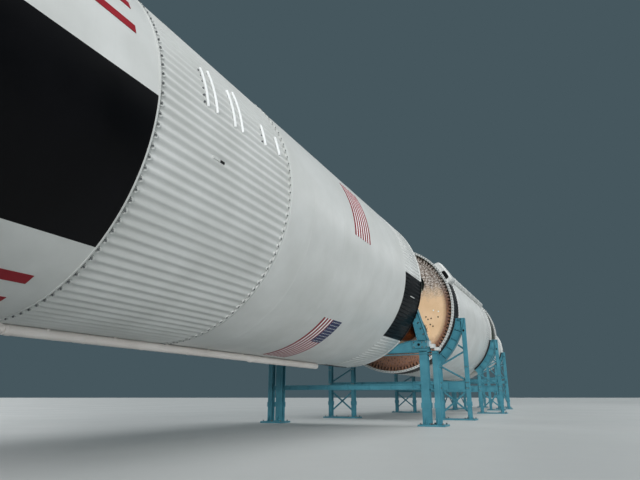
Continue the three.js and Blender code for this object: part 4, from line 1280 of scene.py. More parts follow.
def big_engine():
    """Kerosene engine with one large pump, an exhaust ring around its bell and a plain skirt."""
    shell = engine_core(BIG, SOOT_AND_SHADE)
    lathe(shell, BIG_JOINT, rim(96), 0)
    torus(shell, -3.16, 1.3, 0.2, 96, 14)
    plain_skirt(shell, BIG_SKIRT, 0.04, 3, laps=5)
    lathe(shell, BIG_LIP, rim(96), 0)
    pump = Shell(CAST, STAINLESS)
    lathe(pump, BIG_PUMP, rim(36))
    for x, radius in ((-0.86, 0.3), (-1.29, 0.31)):
        torus(pump, x, radius, 0.1, 36, 10)
    for x in (-1.06, -1.52):
        pump.repeat(face_bolt(x, 0.3, 0.018), STAINLESS, around=16)
    shell.take(pump, shifted(0, 0, PUMP_HEIGHT))
    shell.take(part_of(lathe, BIG_GENERATOR, rim(28), finish=CAST), shifted(0, -0.5, 0.72))
    for k in range(5):
        x = -2.3 - 0.07 * k
        z = 1.02 + 0.35 * (-2.3 - x)
        pipe(shell, ((x, 0, z), (x - 0.025, 0, z + 0.01)), 0.235, 20, 0)
    return shell


def small_engine():
    """Hydrogen engine with a pump above and a pump below, and a crossover duct."""
    shell = engine_core(SMALL, OXIDE)
    torus(shell, -1.58, 0.6, 0.06, 64, 10)
    torus(shell, -2.3, 0.83, 0.07, 64, 10, 1)
    lathe(shell, SMALL_LIP, rim(72), 2)
    for side, length, size in ((-1, 0.72, 0.19), (1, 0.6, 0.2)):
        pump = Shell(CAST)
        lathe(pump, [(-0.46 - share * length, part * size) for share, part in SMALL_PUMP], rim(28))
        torus(pump, -0.46 - 0.22 * length, 0.8 * size, 0.055, 28, 8)
        shell.take(pump, shifted(0, 0, side * 0.47))
    return shell


def engine_unit(node, engine, place, body):
    dress(node, "unit", moved_part(engine, shifted(*place)), body=body, slot="engine_steel")


def gimbal_cross(node, gimbal, place, body, chamfer):
    cross = moved_part(gimbal_block(gimbal), shifted(*place))
    dress(node, "cross", cross, body=body, slot="bare_aluminium", chamfer=chamfer)


def engine_mounts(stage):
    """Where a stage's engines pivot: the centre one, then the four outboard ones."""
    outboard = [pivot(f"{stage}_{k}_engine_pitch") for k in (1, 2, 3, 4)]
    return [Vector((outboard[0].x, 0.0, 0.0)), *outboard]


def place_engines(stage, engine, gimbal):
    """Four swinging engines, each on its own gimbal block, and the fixed centre engine."""
    centre, *outboard = engine_mounts(stage)
    for k, place in enumerate(outboard, 1):
        engine_unit(f"{stage}_stage_engine_{k}", engine, place, f"{stage}_{k}_engine")
    for k, place in enumerate(outboard, 1):
        gimbal_cross(f"{stage}_stage_gimbal_{k}", gimbal, place, f"{stage}_{k}_gimbal", 0.012)
    shell = moved_part(engine, shifted(*centre))
    shell.take(gimbal_block(gimbal), shifted(*centre))
    dress(f"{stage}_stage_center_engine", "unit", shell, slot="engine_steel")


# The aft faces that carry the engines, as in the CAD model
FIRST_FACE, SECOND_FACE = -13.2, 33.85
SHIELD_TILE = 0.92
TILE_PITCH = SHIELD_TILE + 0.06
MOUNT_CLEARANCE = 0.85


def add_thrust_structure():
    """Ribbed skin with ring frames, and an aft face of heat-shield tiles around the engine mounts."""
    aft = FIRST_FACE
    forward = span("thrust_structure")[1]
    base = HULL - 0.045
    shell = Shell(WHITE, BLACK, TILE, PRIMER)
    profile = [(aft, 0), *ribbed(base, aft, aft + 0.25, aft + 0.3, forward - 0.3, forward - 0.25),
               (forward, base), (forward, 0)]
    lathe(shell, profile, shaped_rim(160, HAT_SECTION, 0.05), paint=quarter_paint(aft, forward))
    for x in (aft, aft + 1.95, aft + 3.9, forward - 0.16):
        band(shell, x, base, 0.14, 0.06)
    shell.repeat(skin_bolt(aft + 0.08, HULL + 0.015, 0.03), STAINLESS, around=160)
    mounts = engine_mounts("first")
    half = SHIELD_TILE / 2
    for row in range(-5, 6):
        for column in range(-5, 6):
            y, z = row * TILE_PITCH, column * TILE_PITCH
            inside = math.hypot(abs(y) + half, abs(z) + half) < HULL - 0.12
            near_mount = any(math.hypot(y - mount.y, z - mount.z) < MOUNT_CLEARANCE for mount in mounts)
            if inside and not near_mount:
                block(shell, (aft - 0.05, y - half, z - half), (aft + 0.02, y + half, z + half), 2)
    ring = (aft - 0.1, aft + 0.02, 0.5, 0.62, 48)
    add_collars(shell, PRIMER, mounts, ring, (aft - 0.1, 0.56, 0.025))
    add_ears(shell, BIG_GIMBAL, aft - mounts[0].x + 0.1, mounts, upright=True)
    dress("thrust_structure", "shell", shell)


# Second stage, with the [y, z] of the fixings that show on its heat shield
SHIELD_HOLE = 0.95
PALE_FIXINGS = ((-3.36, -0.26), (-3.75, -0.37))
DARK_FIXINGS = ((-3.7, -0.8), (-2.74, -0.74), (-3.14, -0.88), (-2.89, -0.95), (-3.05, -1.35), (-3.25, -1.5))
# The toothed frame between the skirt's wall and the heat shield
TEETH = 110
FRAME_INNER = 4.45


def add_second_aft_skirt():
    """The open aft end: white rim, black band outside, toothed frame between wall and heat shield."""
    aft, forward = span("second_stage_aft_skirt")
    shell = Shell(WHITE, BLACK, PRIMER, BOARD, SOOT_AND_SHADE)
    inner, base = HULL - 0.15, HULL - 0.03
    shield_aft, shield_forward = span("second_stage_heat_shield")
    black_from, black_to = aft + 0.3, aft + 2.05
    ribbed_stations = (aft + 0.22, aft + 0.24, black_from, black_to, forward - 0.1, forward - 0.08)
    profile = [(aft, base), (aft, HULL), (aft + 0.14, HULL), (aft + 0.18, base),
               *((x, base, 1) for x in ribbed_stations),
               (forward - 0.05, base), (forward, base), (forward, inner), (aft, inner)]
    lathe(shell, profile, shaped_rim(144, HAT_SECTION, 0.03), paint=zone(black_from, black_to))
    hoop(shell, aft + 0.03, shield_aft, inner + 0.01, inner - 0.015, slot=2)
    hoop(shell, shield_aft - 0.01, shield_forward, inner, FRAME_INNER, slot=3)
    hoop(shell, shield_aft - 0.1, shield_aft, FRAME_INNER, FRAME_INNER + 0.05, slot=3)
    tooth_ends = ((0.2, -inner + 0.02, 0.07), (0.07, -FRAME_INNER - 0.06, 0.06))
    tooth = part_of(loft, [[(shield_aft - depth, y, -half), (shield_aft - depth, y, half),
                            (shield_aft, y, half), (shield_aft, y, -half)] for depth, y, half in tooth_ends])
    shell.repeat(tooth, BOARD, around=TEETH)
    # Between each two teeth a near-black pocket, painted shade in the hollow of the frame
    floor, low, high = shield_aft - 0.02, 115.0 / TEETH, 245.0 / TEETH
    pocket = part_of(patch, floor, shield_aft, low, high, FRAME_INNER + 0.14, inner - 0.08, step=9.0)
    shell.repeat(pocket, SOOT_AND_SHADE, around=TEETH)
    shell.repeat(face_bolt(aft, HULL - 0.075, 0.028), STAINLESS, around=144)
    dress("second_stage_aft_skirt", "shell", shell)


def add_heat_shield():
    """Board with five round openings, each with a bolted collar, and a few fixings."""
    node = "second_stage_heat_shield"
    aft, forward = span(node)
    mounts = engine_mounts("second")
    shell = Shell(BOARD)
    holes = [circle(mount.y, mount.z, SHIELD_HOLE - 0.02, 48) for mount in mounts]
    cross_plate(shell, circle(0, 0, FRAME_INNER + 0.01, 128), aft, forward, 0, holes)
    ring = (aft - 0.06, aft + 0.01, SHIELD_HOLE - 0.07, SHIELD_HOLE + 0.08, 64)
    add_collars(shell, BOARD, mounts, ring, (aft - 0.06, SHIELD_HOLE, 0.02))
    for finish, fixings in ((BRIGHT_WHITE, PALE_FIXINGS), (SOOT_AND_SHADE, DARK_FIXINGS)):
        for y, z in fixings:
            for side in (1, -1):
                shell.take(hexagon_bolt(0.04, 0.035, finish), shifted(aft, side * y, side * z))
    dress(node, "board", shell, slot="tan_insulation")


def add_thrust_cone():
    """Riveted thrust cone with stringers and ring frames, and the mounts of the five engines."""
    node = "second_stage_thrust_cone"
    aft, forward = SECOND_FACE, span(node)[1]
    shell = Shell(PRIMER, ALUMINIUM)
    lathe(shell, ((aft, 0), (aft, 3.2), (forward, 4.7), (forward, 0)), rim(144))
    ends = ((aft, 3.15, 0.02, 3.27), (forward, 4.66, 0.06, 4.76))
    stringer = part_of(loft, [[(x, -low, -0.04), (x, -low, 0.04), (x - lean, -high, 0.03),
                               (x - lean, -high, -0.03)] for x, low, lean, high in ends])
    shell.repeat(stringer, ALUMINIUM, around=72)
    hoop(shell, aft - 0.06, aft + 0.02, 2.9, 3.22, 144, 1)
    beam = part_of(block, (aft - 0.12, -3.0, -0.06), (aft + 0.02, 0.0, 0.06))
    shell.repeat(beam, ALUMINIUM, around=8, start=22.5)
    mounts = engine_mounts("second")
    add_ears(shell, SMALL_GIMBAL, aft - mounts[0].x + 0.1, mounts, upright=True)
    dress(node, "shell", shell, slot="bare_aluminium")


def add_second_tank():
    aft = span("second_stage_aft_skirt")[1]
    forward = span("second_stage_forward_skirt")[0]
    shell = Shell(WHITE, BLACK, ALUMINIUM)
    profile = [(aft, 0), *seamed(aft, forward - 0.06, HULL, (aft + 0.35, *SECOND_SEAMS)),
               (forward - 0.04, HULL - 0.04), (forward, HULL - 0.04)]
    domed_tank(shell, profile, forward, HULL, SECOND_DOME, zone(forward - 0.01, math.inf, 2))
    dress("second_stage_tank", "skin", shell, smooth=SKIN_SMOOTH)


SECOND_TUNNEL_ANGLE = 32.0
# The fairing's mouth, in degrees above its middle
MOUTH_OFFSET = -3.5


def pod_section(x, half, top, foot, steps=14):
    """A flat-topped arch that stands on the hull's near side, as a ring of points."""
    ring = []
    for k in range(steps + 1):
        t = math.pi * k / steps
        across = -half * math.copysign(abs(math.cos(t)) ** 0.45, math.cos(t))
        rise = foot + (top - foot) * abs(math.sin(t)) ** 0.45
        ring.append((x, -rise, across))
    return ring


def add_second_tunnel():
    """Half-sunk pipe with bands, and a boat-shaped fairing whose aft end has a round-cornered mouth, a
    near-black plug that is painted shade inside the open duct.
    """
    node = "second_stage_tunnel"
    aft, forward = span(node)
    foot = HULL - 0.25
    shell = Shell(WHITE, HOLE_SHADE)
    rows = ((0, 0.92, 0.3), (0.12, 0.95, 0.4), (0.6, 0.93, 0.42), (2.2, 0.7, 0.38), (2.9, 0.46, 0.28),
            (3.45, 0.2, 0.12))
    loft(shell, [pod_section(aft + x, half, HULL + rise, foot) for x, half, rise in rows])
    # The mouth is a near-black plug, painted shade inside the duct, which is not cut open
    mouth = [pod_section(x, 0.36, HULL + 0.29, HULL - 0.1) for x in (aft - 0.012, aft + 0.3)]
    shell.take(part_of(loft, mouth, finish=HOLE_SHADE), about_x(MOUTH_OFFSET))
    tube = Shell(WHITE)
    pipe_radius = 0.25
    lathe(tube, ((aft + 2.2, 0), (aft + 2.2, pipe_radius), (forward - 0.25, pipe_radius),
                 (forward - 0.08, 0.7 * pipe_radius), (forward, 0)), rim(28))
    for k in range(6):
        band(tube, aft + 3.8 + 2.3 * k, pipe_radius, 0.12, 0.015, steps=28)
    shell.take(tube, shifted(0, -HULL - 0.1, 0))
    dress(node, "fairing", moved_part(shell, about_x(SECOND_TUNNEL_ANGLE)))


# Third stage and spacecraft
def add_interstage():
    """Tapered interstage with stringers, end rings and a row of bolts."""
    node = "third_stage_interstage"
    aft, forward = span(node)
    shell = Shell(WHITE, BLACK, PRIMER)
    wall, rise = 0.15, 0.03
    outer = taper(aft, HULL, forward, THIRD)
    black_from = forward - 1.2
    rows = ((aft, 0, 0), (aft + 0.14, 0, 0), (aft + 0.16, rise, 0), (aft + 0.22, rise, 1),
            (black_from, rise, 1), (forward - 0.3, rise, 1), (forward - 0.25, rise, 0), (forward - 0.2, 0, 0))
    profile = [(x, outer(x) - drop, share) for x, drop, share in rows]
    profile += [(forward, THIRD), (forward, THIRD - wall), (aft, HULL - wall)]
    paint = quarter_paint(black_from, math.inf)
    lathe(shell, profile, shaped_rim(144, HAT_SECTION, rise), paint=paint)
    for share in (0.25, 0.5, 0.75):
        x = aft + share * (forward - aft)
        inside = outer(x) - wall
        frame_section = ((x, inside + 0.02), (x, inside - 0.2), (x + 0.08, inside - 0.2), (x + 0.08, inside))
        lathe(shell, frame_section, rim(144), 2)
    shell.repeat(face_bolt(aft, HULL - 0.075, 0.028), STAINLESS, around=120)
    dress(node, "shell", shell)


def add_third_tank():
    """Tank with a tapered thrust face, a ribbed aft skirt and raised welds."""
    aft = span("third_stage_interstage")[1]
    forward = span("third_stage_forward_skirt")[0]
    engine = pivot("third_engine_pitch")
    shell = Shell(WHITE, BLACK, ALUMINIUM, PRIMER)
    skirt_end = aft + 2.2
    base, core = THIRD - 0.03, THIRD - 0.2
    skirt = ribbed(base, aft, aft + 0.1, aft + 0.14, skirt_end - 0.1, skirt_end - 0.05)
    skirt += [(skirt_end, base), (skirt_end, core - 0.02), (aft, core - 0.02)]
    lathe(shell, skirt, shaped_rim(108, HAT_SECTION, 0.03))
    face = engine.x + 0.28
    profile = [(face, 0), (face, 0.5), (aft, 1.2), (aft + 0.02, core), (skirt_end, core),
               *seamed(skirt_end + 0.02, forward - 0.04, THIRD, THIRD_SEAMS), (forward, THIRD - 0.04)]
    paint = zone(aft - 0.01, forward - 0.01, 0, 2)
    domed_tank(shell, profile, forward, THIRD, THIRD_DOME, paint)
    add_ears(shell, SMALL_GIMBAL, 0.34, [engine], upright=True)
    dress("third_stage_tank", "skin", shell)


def add_third_engine():
    place = pivot("third_engine_pitch")
    engine_unit("third_stage_engine", small_engine(), place, "third_engine")
    gimbal_cross("third_stage_gimbal", SMALL_GIMBAL, place, "third_gimbal", 0.01)


def small_bell(length, throat, mouth, steps):
    """A little nozzle that opens along -X."""
    outline = ((0, 0), (0, throat), (-length, mouth), (-length, mouth - 0.015), (-0.03, 0))
    return part_of(lathe, outline, rim(steps), finish=CAST)


def add_control_modules():
    """Two pods with small nozzles on the third stage's aft skirt."""
    for k, angle in ((1, 0.0), (2, 180.0)):
        node = f"control_module_{k}"
        aft, forward = span(node)
        shell = Shell(WHITE, CAST, HOLE_SHADE)
        rows = ((aft, 0.4, 0.5), (aft + 0.12, 0.45, 0.55), (aft + 1.5, 0.45, 0.55), (aft + 1.9, 0.33, 0.35),
                (forward, 0.2, 0.15))
        loft(shell, [pod_section(x, half, THIRD + rise, THIRD - 0.12) for x, half, rise in rows])
        nozzle = small_bell(0.14, 0.05, 0.1, 20)
        for side in (-1, 1):
            shell.take(nozzle, shifted(aft, -THIRD - 0.3, side * 0.2))
            outwards = shifted(aft + 0.75, -THIRD - 0.3, side * 0.46) @ quarter_turns("Y", side)
            shell.take(nozzle, outwards)
        for x in (aft + 0.3, aft + 1.3):
            block(shell, (x, -THIRD - 0.57, -0.3), (x + 0.03, -THIRD - 0.5, 0.3))
        dress(node, "pod", moved_part(shell, about_x(angle)))


def add_instrument_ring():
    """Ring with bolted end flanges, an access door and a row of screws."""
    aft, forward = span("instrument_ring")
    shell = Shell(WHITE, PRIMER, ALUMINIUM)
    inner, flange, skin = THIRD - 0.12, THIRD + 0.01, THIRD - 0.015
    lathe(shell, ((aft, flange), (aft + 0.1, flange), (aft + 0.11, skin), (forward - 0.11, skin),
                  (forward - 0.1, flange), (forward, flange), (forward, inner), (aft, inner)), rim(144))
    patch(shell, aft + 0.17, forward - 0.17, -12.0, 12.0, THIRD - 0.05, THIRD + 0.01)
    screw = skin_bolt(aft + 0.05, THIRD, 0.022)
    shell.repeat(screw, STAINLESS, around=96, rows=2, row_step=forward - aft - 0.1)
    case = part_of(block, (aft + 0.15, -inner, -0.25), (forward - 0.15, -inner + 0.3, 0.25))
    shell.repeat(case, ALUMINIUM, around=16)
    dress("instrument_ring", "shell", shell)


def add_adapter():
    """Tapered adapter in four lengthwise panels, with raised seams, a hinge line and end rings."""
    aft, forward = span("spacecraft_adapter")
    shell = Shell(WHITE, ALUMINIUM)
    wall = 0.1
    outer = taper(aft, THIRD, forward, SERVICE)
    lathe(shell, ((aft, THIRD), (forward, SERVICE), (forward, SERVICE - wall), (aft, THIRD - wall)), rim(144))
    for x in (aft, aft + 2.5, aft + 5.4, forward - 0.12):
        band(shell, x, outer(x) - 0.01, 0.12, 0.03, steps=144)
    seam = part_of(bar_along, [(x, outer(x)) for x in (aft + 0.1, forward - 0.1)], 0.08, 0.03, 0.02)
    shell.repeat(seam, WHITE, around=4, start=45)
    shell.repeat(skin_bolt(aft + 0.06, outer(aft + 0.06) + 0.015, 0.02), STAINLESS, around=96)
    door_aft, door_forward = aft + 3.4, aft + 4.2
    for angle in (20, 200):
        patch(shell, door_aft, door_forward, angle - 6, angle + 6, outer(door_forward) - 0.05,
              outer(door_aft) + 0.015)
    dress("spacecraft_adapter", "shell", shell)


def thruster_cluster():
    """Four small bells in a cross on a raised housing, on the near side of the service module."""
    shell = Shell(ALUMINIUM, CAST, SOOT_AND_SHADE)
    block(shell, (-0.3, -SERVICE - 0.16, -0.22), (0.3, -SERVICE + 0.1, 0.22))
    bell = moved_part(small_bell(0.12, 0.03, 0.075, 18), shifted(-0.06, 0, 0))
    for turns in range(4):
        shell.take(bell, shifted(0, -SERVICE - 0.17, 0) @ quarter_turns("Y", turns))
    return shell


SERVICE_PANELS = 6


def add_service_module():
    """Silver cylinder in six bays with radiator panels, thruster clusters and an end fairing."""
    aft, forward = span("service_module")
    shell = Shell(ALUMINIUM, WHITE, CAST)
    fairing = forward - 0.55
    profile = ((aft, 0), (aft, SERVICE - 0.01), (aft + 0.1, SERVICE - 0.01), (aft + 0.12, SERVICE - 0.03),
               (fairing, SERVICE - 0.03), (fairing + 0.02, SERVICE), (forward, SERVICE), (forward, 0))
    lathe(shell, profile, rim(120), paint=zone(fairing, math.inf))
    rib = part_of(block, (aft + 0.12, -SERVICE, -0.03), (fairing, -SERVICE + 0.06, 0.03))
    shell.repeat(rib, STAINLESS, around=SERVICE_PANELS, start=30)
    radiator = part_of(patch, aft + 0.35, aft + 1.9, -20, 20, SERVICE - 0.05, SERVICE - 0.012)
    shell.repeat(radiator, WHITE, around=4)
    louvre = part_of(patch, fairing + 0.08, forward - 0.08, -4.2, 4.2, SERVICE - 0.03, SERVICE + 0.012)
    shell.repeat(louvre, WHITE, around=24)
    shell.repeat(skin_bolt(aft + 0.06, SERVICE - 0.015, 0.016), STAINLESS, around=72)
    for turn in range(4):
        shell.take(thruster_cluster(), about_x(90 * turn) @ shifted(forward - 1.2, 0, 0))
    dress("service_module", "shell", shell, slot="bare_aluminium")


# Crew module, as in the CAD model
CREW_AFT, CREW_TOP = span("crew_module")
CREW_SHOULDER = CREW_AFT + 0.22
CREW_BEND, CREW_BEND_RADIUS = CREW_TOP - 0.4, 0.52
CREW_TOP_RADIUS = 0.42
CREW_WALL = 0.12
CREW_SLOPE = math.atan2(SERVICE - CREW_BEND_RADIUS, CREW_BEND - CREW_SHOULDER)
HATCH_MIDDLE, HATCH_LENGTH, HATCH_WIDTH, HATCH_GAP = 88.35, 0.84, 0.86, 0.007
# The hatch's own window: station, angle, length and width
HATCH_WINDOW = (HATCH_MIDDLE + 0.12, 0, 0.2, 0.2)
# Windows: station and angle around the rocket
CREW_WINDOWS = ((88.75, 55.0), (88.75, -55.0), (89.1, 28.0), (89.1, -28.0))
WINDOW_SIZE = 0.24
# Stations of the trim: hoops, the ends of the lengthwise seams, and the row of small ports
CREW_HOOPS = (87.75, 88.95, 89.55)
CREW_SEAMS = (87.4, 89.75)
PORT_ROW = 87.55


crew_radius = taper(CREW_SHOULDER, SERVICE, CREW_BEND, CREW_BEND_RADIUS)


def on_crew_cone(x, angle):
    """Brings a part that lies on the XZ plane, facing -Y, onto the cone at a station and angle."""
    return about_x(angle) @ shifted(x, -crew_radius(x), 0) @ Matrix.Rotation(CREW_SLOPE, 4, "Z")


def cone_block(x, angle, length, width, low=-0.4, high=0.4):
    """A block that goes through the cone, or lies between two depths under its skin."""
    straight = part_of(block, (-length / 2, -high, -width / 2), (length / 2, -low, width / 2))
    return moved_part(straight, on_crew_cone(x, angle))


def crew_shell():
    shell = Shell(FILM, CAST)
    profile = [(CREW_AFT, 0), (CREW_AFT, SERVICE - 0.06), (CREW_AFT + 0.05, SERVICE),
               (CREW_SHOULDER - 0.02, SERVICE)]
    profile += [(x, crew_radius(x)) for x in (CREW_SHOULDER + 0.02, 87.9, 88.5, 89.1, 89.5)]
    profile += [(CREW_BEND, CREW_BEND_RADIUS), (CREW_TOP - 0.05, CREW_TOP_RADIUS),
                (CREW_TOP, CREW_TOP_RADIUS - 0.05), (CREW_TOP, 0)]
    lathe(shell, profile, rim(96), paint=zone(-math.inf, CREW_SHOULDER - 0.1))
    return shell


def crew_inside():
    aft, forward, wide = CREW_AFT + CREW_WALL, CREW_BEND - 0.3, SERVICE - CREW_WALL
    outline = ((aft, 0), (aft, wide), (CREW_SHOULDER, wide), (forward, 0.55), (forward, 0))
    return part_of(lathe, outline, rim(72), finish=PRIMER)


def frame_around(shell, x, angle, length, width, bar, rise):
    """Four bars around an opening in the cone, in the shell's first finish."""
    part = Shell(*shell.finishes)
    length, width, bar = length / 2, width / 2, bar / 2
    for sign in (-1, 1):
        across, along = sign * length, sign * width
        block(part, (across - bar, -rise, -width - bar), (across + bar, 0.02, width + bar))
        block(part, (-length, -rise, along - bar), (length, 0.02, along + bar))
    shell.take(part, on_crew_cone(x, angle))


def add_crew_module():
    """Film-covered cone, cut open at the hatch and the windows, with frames, panes, seams and ports."""
    hole = cone_block(HATCH_MIDDLE, 0, HATCH_LENGTH, HATCH_WIDTH)
    windows = [cone_block(x, angle, WINDOW_SIZE, WINDOW_SIZE) for x, angle in CREW_WINDOWS]
    mesh = carved(mesh_of(crew_shell(), "crew_module"), [crew_inside(), hole, *windows])
    trim = Shell(CAST, GLASS, FILM, STAINLESS)
    for x, angle in CREW_WINDOWS:
        frame_around(trim, x, angle, WINDOW_SIZE, WINDOW_SIZE, 0.05, 0.025)
        trim.take(cone_block(x, angle, WINDOW_SIZE, WINDOW_SIZE, -0.07, -0.03), slot=1)
    for x in CREW_HOOPS:
        band(trim, x, crew_radius(x) - 0.008, 0.03, 0.012, 0, 96)
    seam = part_of(bar_along, [(x, crew_radius(x)) for x in CREW_SEAMS], 0.015, 0.02, 0.01)
    trim.repeat(seam, CAST, around=6, start=30)
    # Each small port is a near-black disc, painted shade for a hole that is not cut
    port = moved_part(part_of(disc, 0, -0.02, 0.045, 14), on_crew_cone(PORT_ROW, 0) @ quarter_turns("Z"))
    trim.repeat(port, HOLE_SHADE, around=12, start=15)
    dress("crew_module", "shell", Shell(), mesh=mesh)
    piece("crew_module_trim", trim)


def add_hatch():
    """Hatch cut from the same cone, with a window, a raised frame and a handle."""
    keep = cone_block(HATCH_MIDDLE, 0, HATCH_LENGTH - 2 * HATCH_GAP, HATCH_WIDTH - 2 * HATCH_GAP)
    whole = carved(mesh_of(crew_shell(), "hatch"), [crew_inside()])
    mesh = carved(whole, [keep], "INTERSECT")
    mesh = carved(mesh, [cone_block(*HATCH_WINDOW)])
    trim = Shell(CAST, GLASS, STAINLESS)
    frame_around(trim, *HATCH_WINDOW, 0.04, 0.022)
    trim.take(cone_block(*HATCH_WINDOW, -0.06, -0.03), slot=1)
    handle = ((-0.25, 0.0, -0.12), (-0.25, -0.06, -0.12), (-0.25, -0.06, 0.12), (-0.25, 0.0, 0.12))
    grip = part_of(pipe, rounded(handle, 0.03), 0.012, 10, finish=STAINLESS)
    trim.take(grip, on_crew_cone(HATCH_MIDDLE, 0))
    dress("crew_hatch", "door", Shell(), body="hatch", mesh=mesh)
    piece("crew_hatch_trim", trim, "hatch")


# Escape tower and motor, as in the CAD model
TOWER_AFT = 88.95
TOWER_RADII = (0.95, 0.42)
CORNERS = (45, 135, 225, 315)
# Shares of the tower's height where its level bars are, above a lowest crossing
TOWER_LEVELS = (0.12, 0.35, 0.65, 0.95)


def add_escape_tower():
    """Welded tube truss with gusset knots, its feet cut to the crew module's cone."""
    top_x = span("escape_tower")[1]
    shell = Shell(WHITE, STAINLESS)
    radius = taper(0, TOWER_RADII[0], 1, TOWER_RADII[1])

    def corner(part, turn):
        return (TOWER_AFT + part * (top_x - 0.06 - TOWER_AFT), *spot(turn, radius(part)))
    for turn in CORNERS:
        pipe(shell, (corner(0, turn), corner(1, turn)), 0.06, 14)
        for below, level in zip(TOWER_LEVELS, TOWER_LEVELS[1:]):
            pipe(shell, (corner(level, turn), corner(level, turn + 90)), 0.032, 10)
            pipe(shell, (corner(below, turn), corner(level, turn + 90)), 0.028, 10)
            pipe(shell, (corner(below, turn + 90), corner(level, turn)), 0.028, 10)
            knot = part_of(disc, -0.07, 0.07, 0.075, 14, finish=WHITE)
            shell.take(knot, shifted(*corner(level, turn)))
    disc(shell, top_x - 0.1, top_x, 0.47, 48)
    rows = ((CREW_AFT, SERVICE), (CREW_SHOULDER, SERVICE), (CREW_BEND, CREW_BEND_RADIUS),
            (CREW_TOP, CREW_TOP_RADIUS))
    cone = part_of(lathe, [(CREW_AFT, 0), *((x, r + 0.01) for x, r in rows), (CREW_TOP, 0)], rim(96))
    mesh = carved(mesh_of(shell, "tower"), [cone], overlapping=True)
    dress("escape_tower", "truss", Shell(), mesh=mesh)


MOTOR_AFT = 93.0
# The motor's casing and its hoops: [station, radius]
MOTOR_CASING = (
    (MOTOR_AFT, 0), (MOTOR_AFT, 0.46), (93.7, 0.34), (95.9, 0.34), (95.92, 0.33), (98.1, 0.33), (98.5, 0.28),
    (99.5, 0.27), (99.9, 0.2), (100.3, 0.12),
)
MOTOR_HOOPS = ((93.66, 0.34), (94.8, 0.34), (95.84, 0.34), (97.0, 0.33), (98.04, 0.33), (99.46, 0.27))
NOZZLE = ((0.0, 0), (0.0, 0.06), (-0.2, 0.07), (-0.66, 0.14), (-0.66, 0.12), (-0.25, 0.04), (-0.25, 0))
# A nozzle's middle line runs out by the first while it runs back by the second
NOZZLE_CANT = math.atan2(0.42, 0.6)


def add_escape_motor():
    """Long solid motor: flared nozzle skirt, four canted nozzles, banded casing and ballast nose."""
    nose = span("escape_motor")[1]
    shell = Shell(WHITE, STAINLESS, SOOT_AND_SHADE)
    profile = [*MOTOR_CASING, (nose - 0.1, 0.07), (nose - 0.02, 0.05), (nose, 0.0)]
    lathe(shell, profile, rim(64))
    for x, radius in MOTOR_HOOPS:
        band(shell, x, radius - 0.004, 0.07, 0.014, 0, 64)
    shell.repeat(skin_bolt(95.9, 0.348, 0.012), STAINLESS, around=24)
    nozzle = part_of(lathe, NOZZLE, rim(24), finish=STAINLESS)
    canted = shifted(93.5, -0.28, 0) @ Matrix.Rotation(NOZZLE_CANT, 4, "Z")
    for turn in CORNERS:
        shell.take(nozzle, about_x(turn) @ canted)
    dress("escape_motor", "casing", shell)


# Stands, as in the CAD model. Saddle stands hug a hull; sizes are shares of the hull's radius.
SADDLE_STANDS = {"stand_1": HULL, "stand_3": HULL, "stand_4": HULL, "stand_5": THIRD, "stand_6": THIRD,
                 "stand_7": SERVICE}
SADDLE = {"arm_outer": 1.157, "arm_top": 0.2, "inner_post": 0.712, "inner_post_top": 0.835,
          "outer_post": 1.112, "node": 0.903, "brace_top": 0.69, "tie_depth": 0.127}
# Angles of an arm's lowest and highest rib, below level on the far side
SADDLE_LOW = -52.0
SADDLE_RIB_TOP = -12.5
SADDLE_STEPS = 16
SADDLE_RIBS = 5
PAD = 0.16
POST_HALF = 0.14
TIE_DROP = 0.29
TIE_HALF = 0.12
PLATE = 0.04
FOOT = {"reach": 0.4, "side": 0.45, "thickness": 0.1}
ANCHOR_OFFSETS = (-0.3, 0.3)


def arm_arc(radius, top, low=SADDLE_LOW):
    """[y, z] points of an arc on the far side, from the arm's low end up to a level."""
    high = -math.degrees(math.asin(top / radius))
    angles = [math.radians(low + (high - low) * k / SADDLE_STEPS) for k in range(SADDLE_STEPS + 1)]
    return [(radius * math.cos(t), radius * math.sin(t)) for t in angles]


def post(shell, y, half, top, x0, x1):
    """A column of two flanges that face along the rocket and a web between them, with a cap plate."""
    for start, end in ((x0, x0 + PLATE), (x1 - PLATE, x1)):
        block(shell, (start, y - half, -AXIS_HEIGHT + 0.05), (end, y + half, top))
    block(shell, (x0 + 0.01, y - 0.3 * half, -AXIS_HEIGHT + 0.05), (x1 - 0.01, y + 0.3 * half, top))
    block(shell, (x0 + 0.01, y - half, top - PLATE), (x1 - 0.01, y + half, top))


def angle_brace(shell, x, start, end):
    """Two flat bars in a cross section, between two [y, z] places."""
    places = [(x, *start), (x, *end)]
    strut(shell, *places, 0.13, 0.03)
    strut(shell, *places, 0.03, 0.13)


def foot(shell, posts, x0, x1):
    """A base plate with upright gussets and anchor bolts under the posts, each a [y, half width]."""
    floor = -AXIS_HEIGHT
    plate_top = floor + FOOT["thickness"]
    low, high = posts[0][0] - FOOT["side"], posts[-1][0] + FOOT["side"]
    block(shell, (x0 - FOOT["reach"], low, floor), (x1 + FOOT["reach"], high, plate_top))
    bolt = hexagon_bolt(0.045, 0.09, STAINLESS)
    for y, half in posts:
        for x, way in ((x0, -1), (x1, 1)):
            gusset = ((x, plate_top), (x + way * 0.3, plate_top), (x, plate_top + 0.4))
            prism(shell, [[(along, y + side, z) for along, z in gusset] for side in (-0.02, 0.02)])
            for offset in ANCHOR_OFFSETS:
                shell.take(bolt, shifted(x + way * 0.25, y + offset, plate_top) @ quarter_turns("Y"))
        for x in (x0, x1):
            block(shell, (x - 0.012, y - half - 0.04, plate_top + 0.9),
                  (x + 0.012, y + half + 0.04, plate_top + 1.2))


def bolt_rows(shell, x0, x1, places):
    """Bolt heads on both faces of a stand at [y, z] places."""
    bolt = hexagon_bolt(0.03, 0.035, STAINLESS)
    for x, turns in ((x0, 0), (x1, 2)):
        for y, z in places:
            shell.take(bolt, shifted(x, y, z) @ quarter_turns("Z", turns))


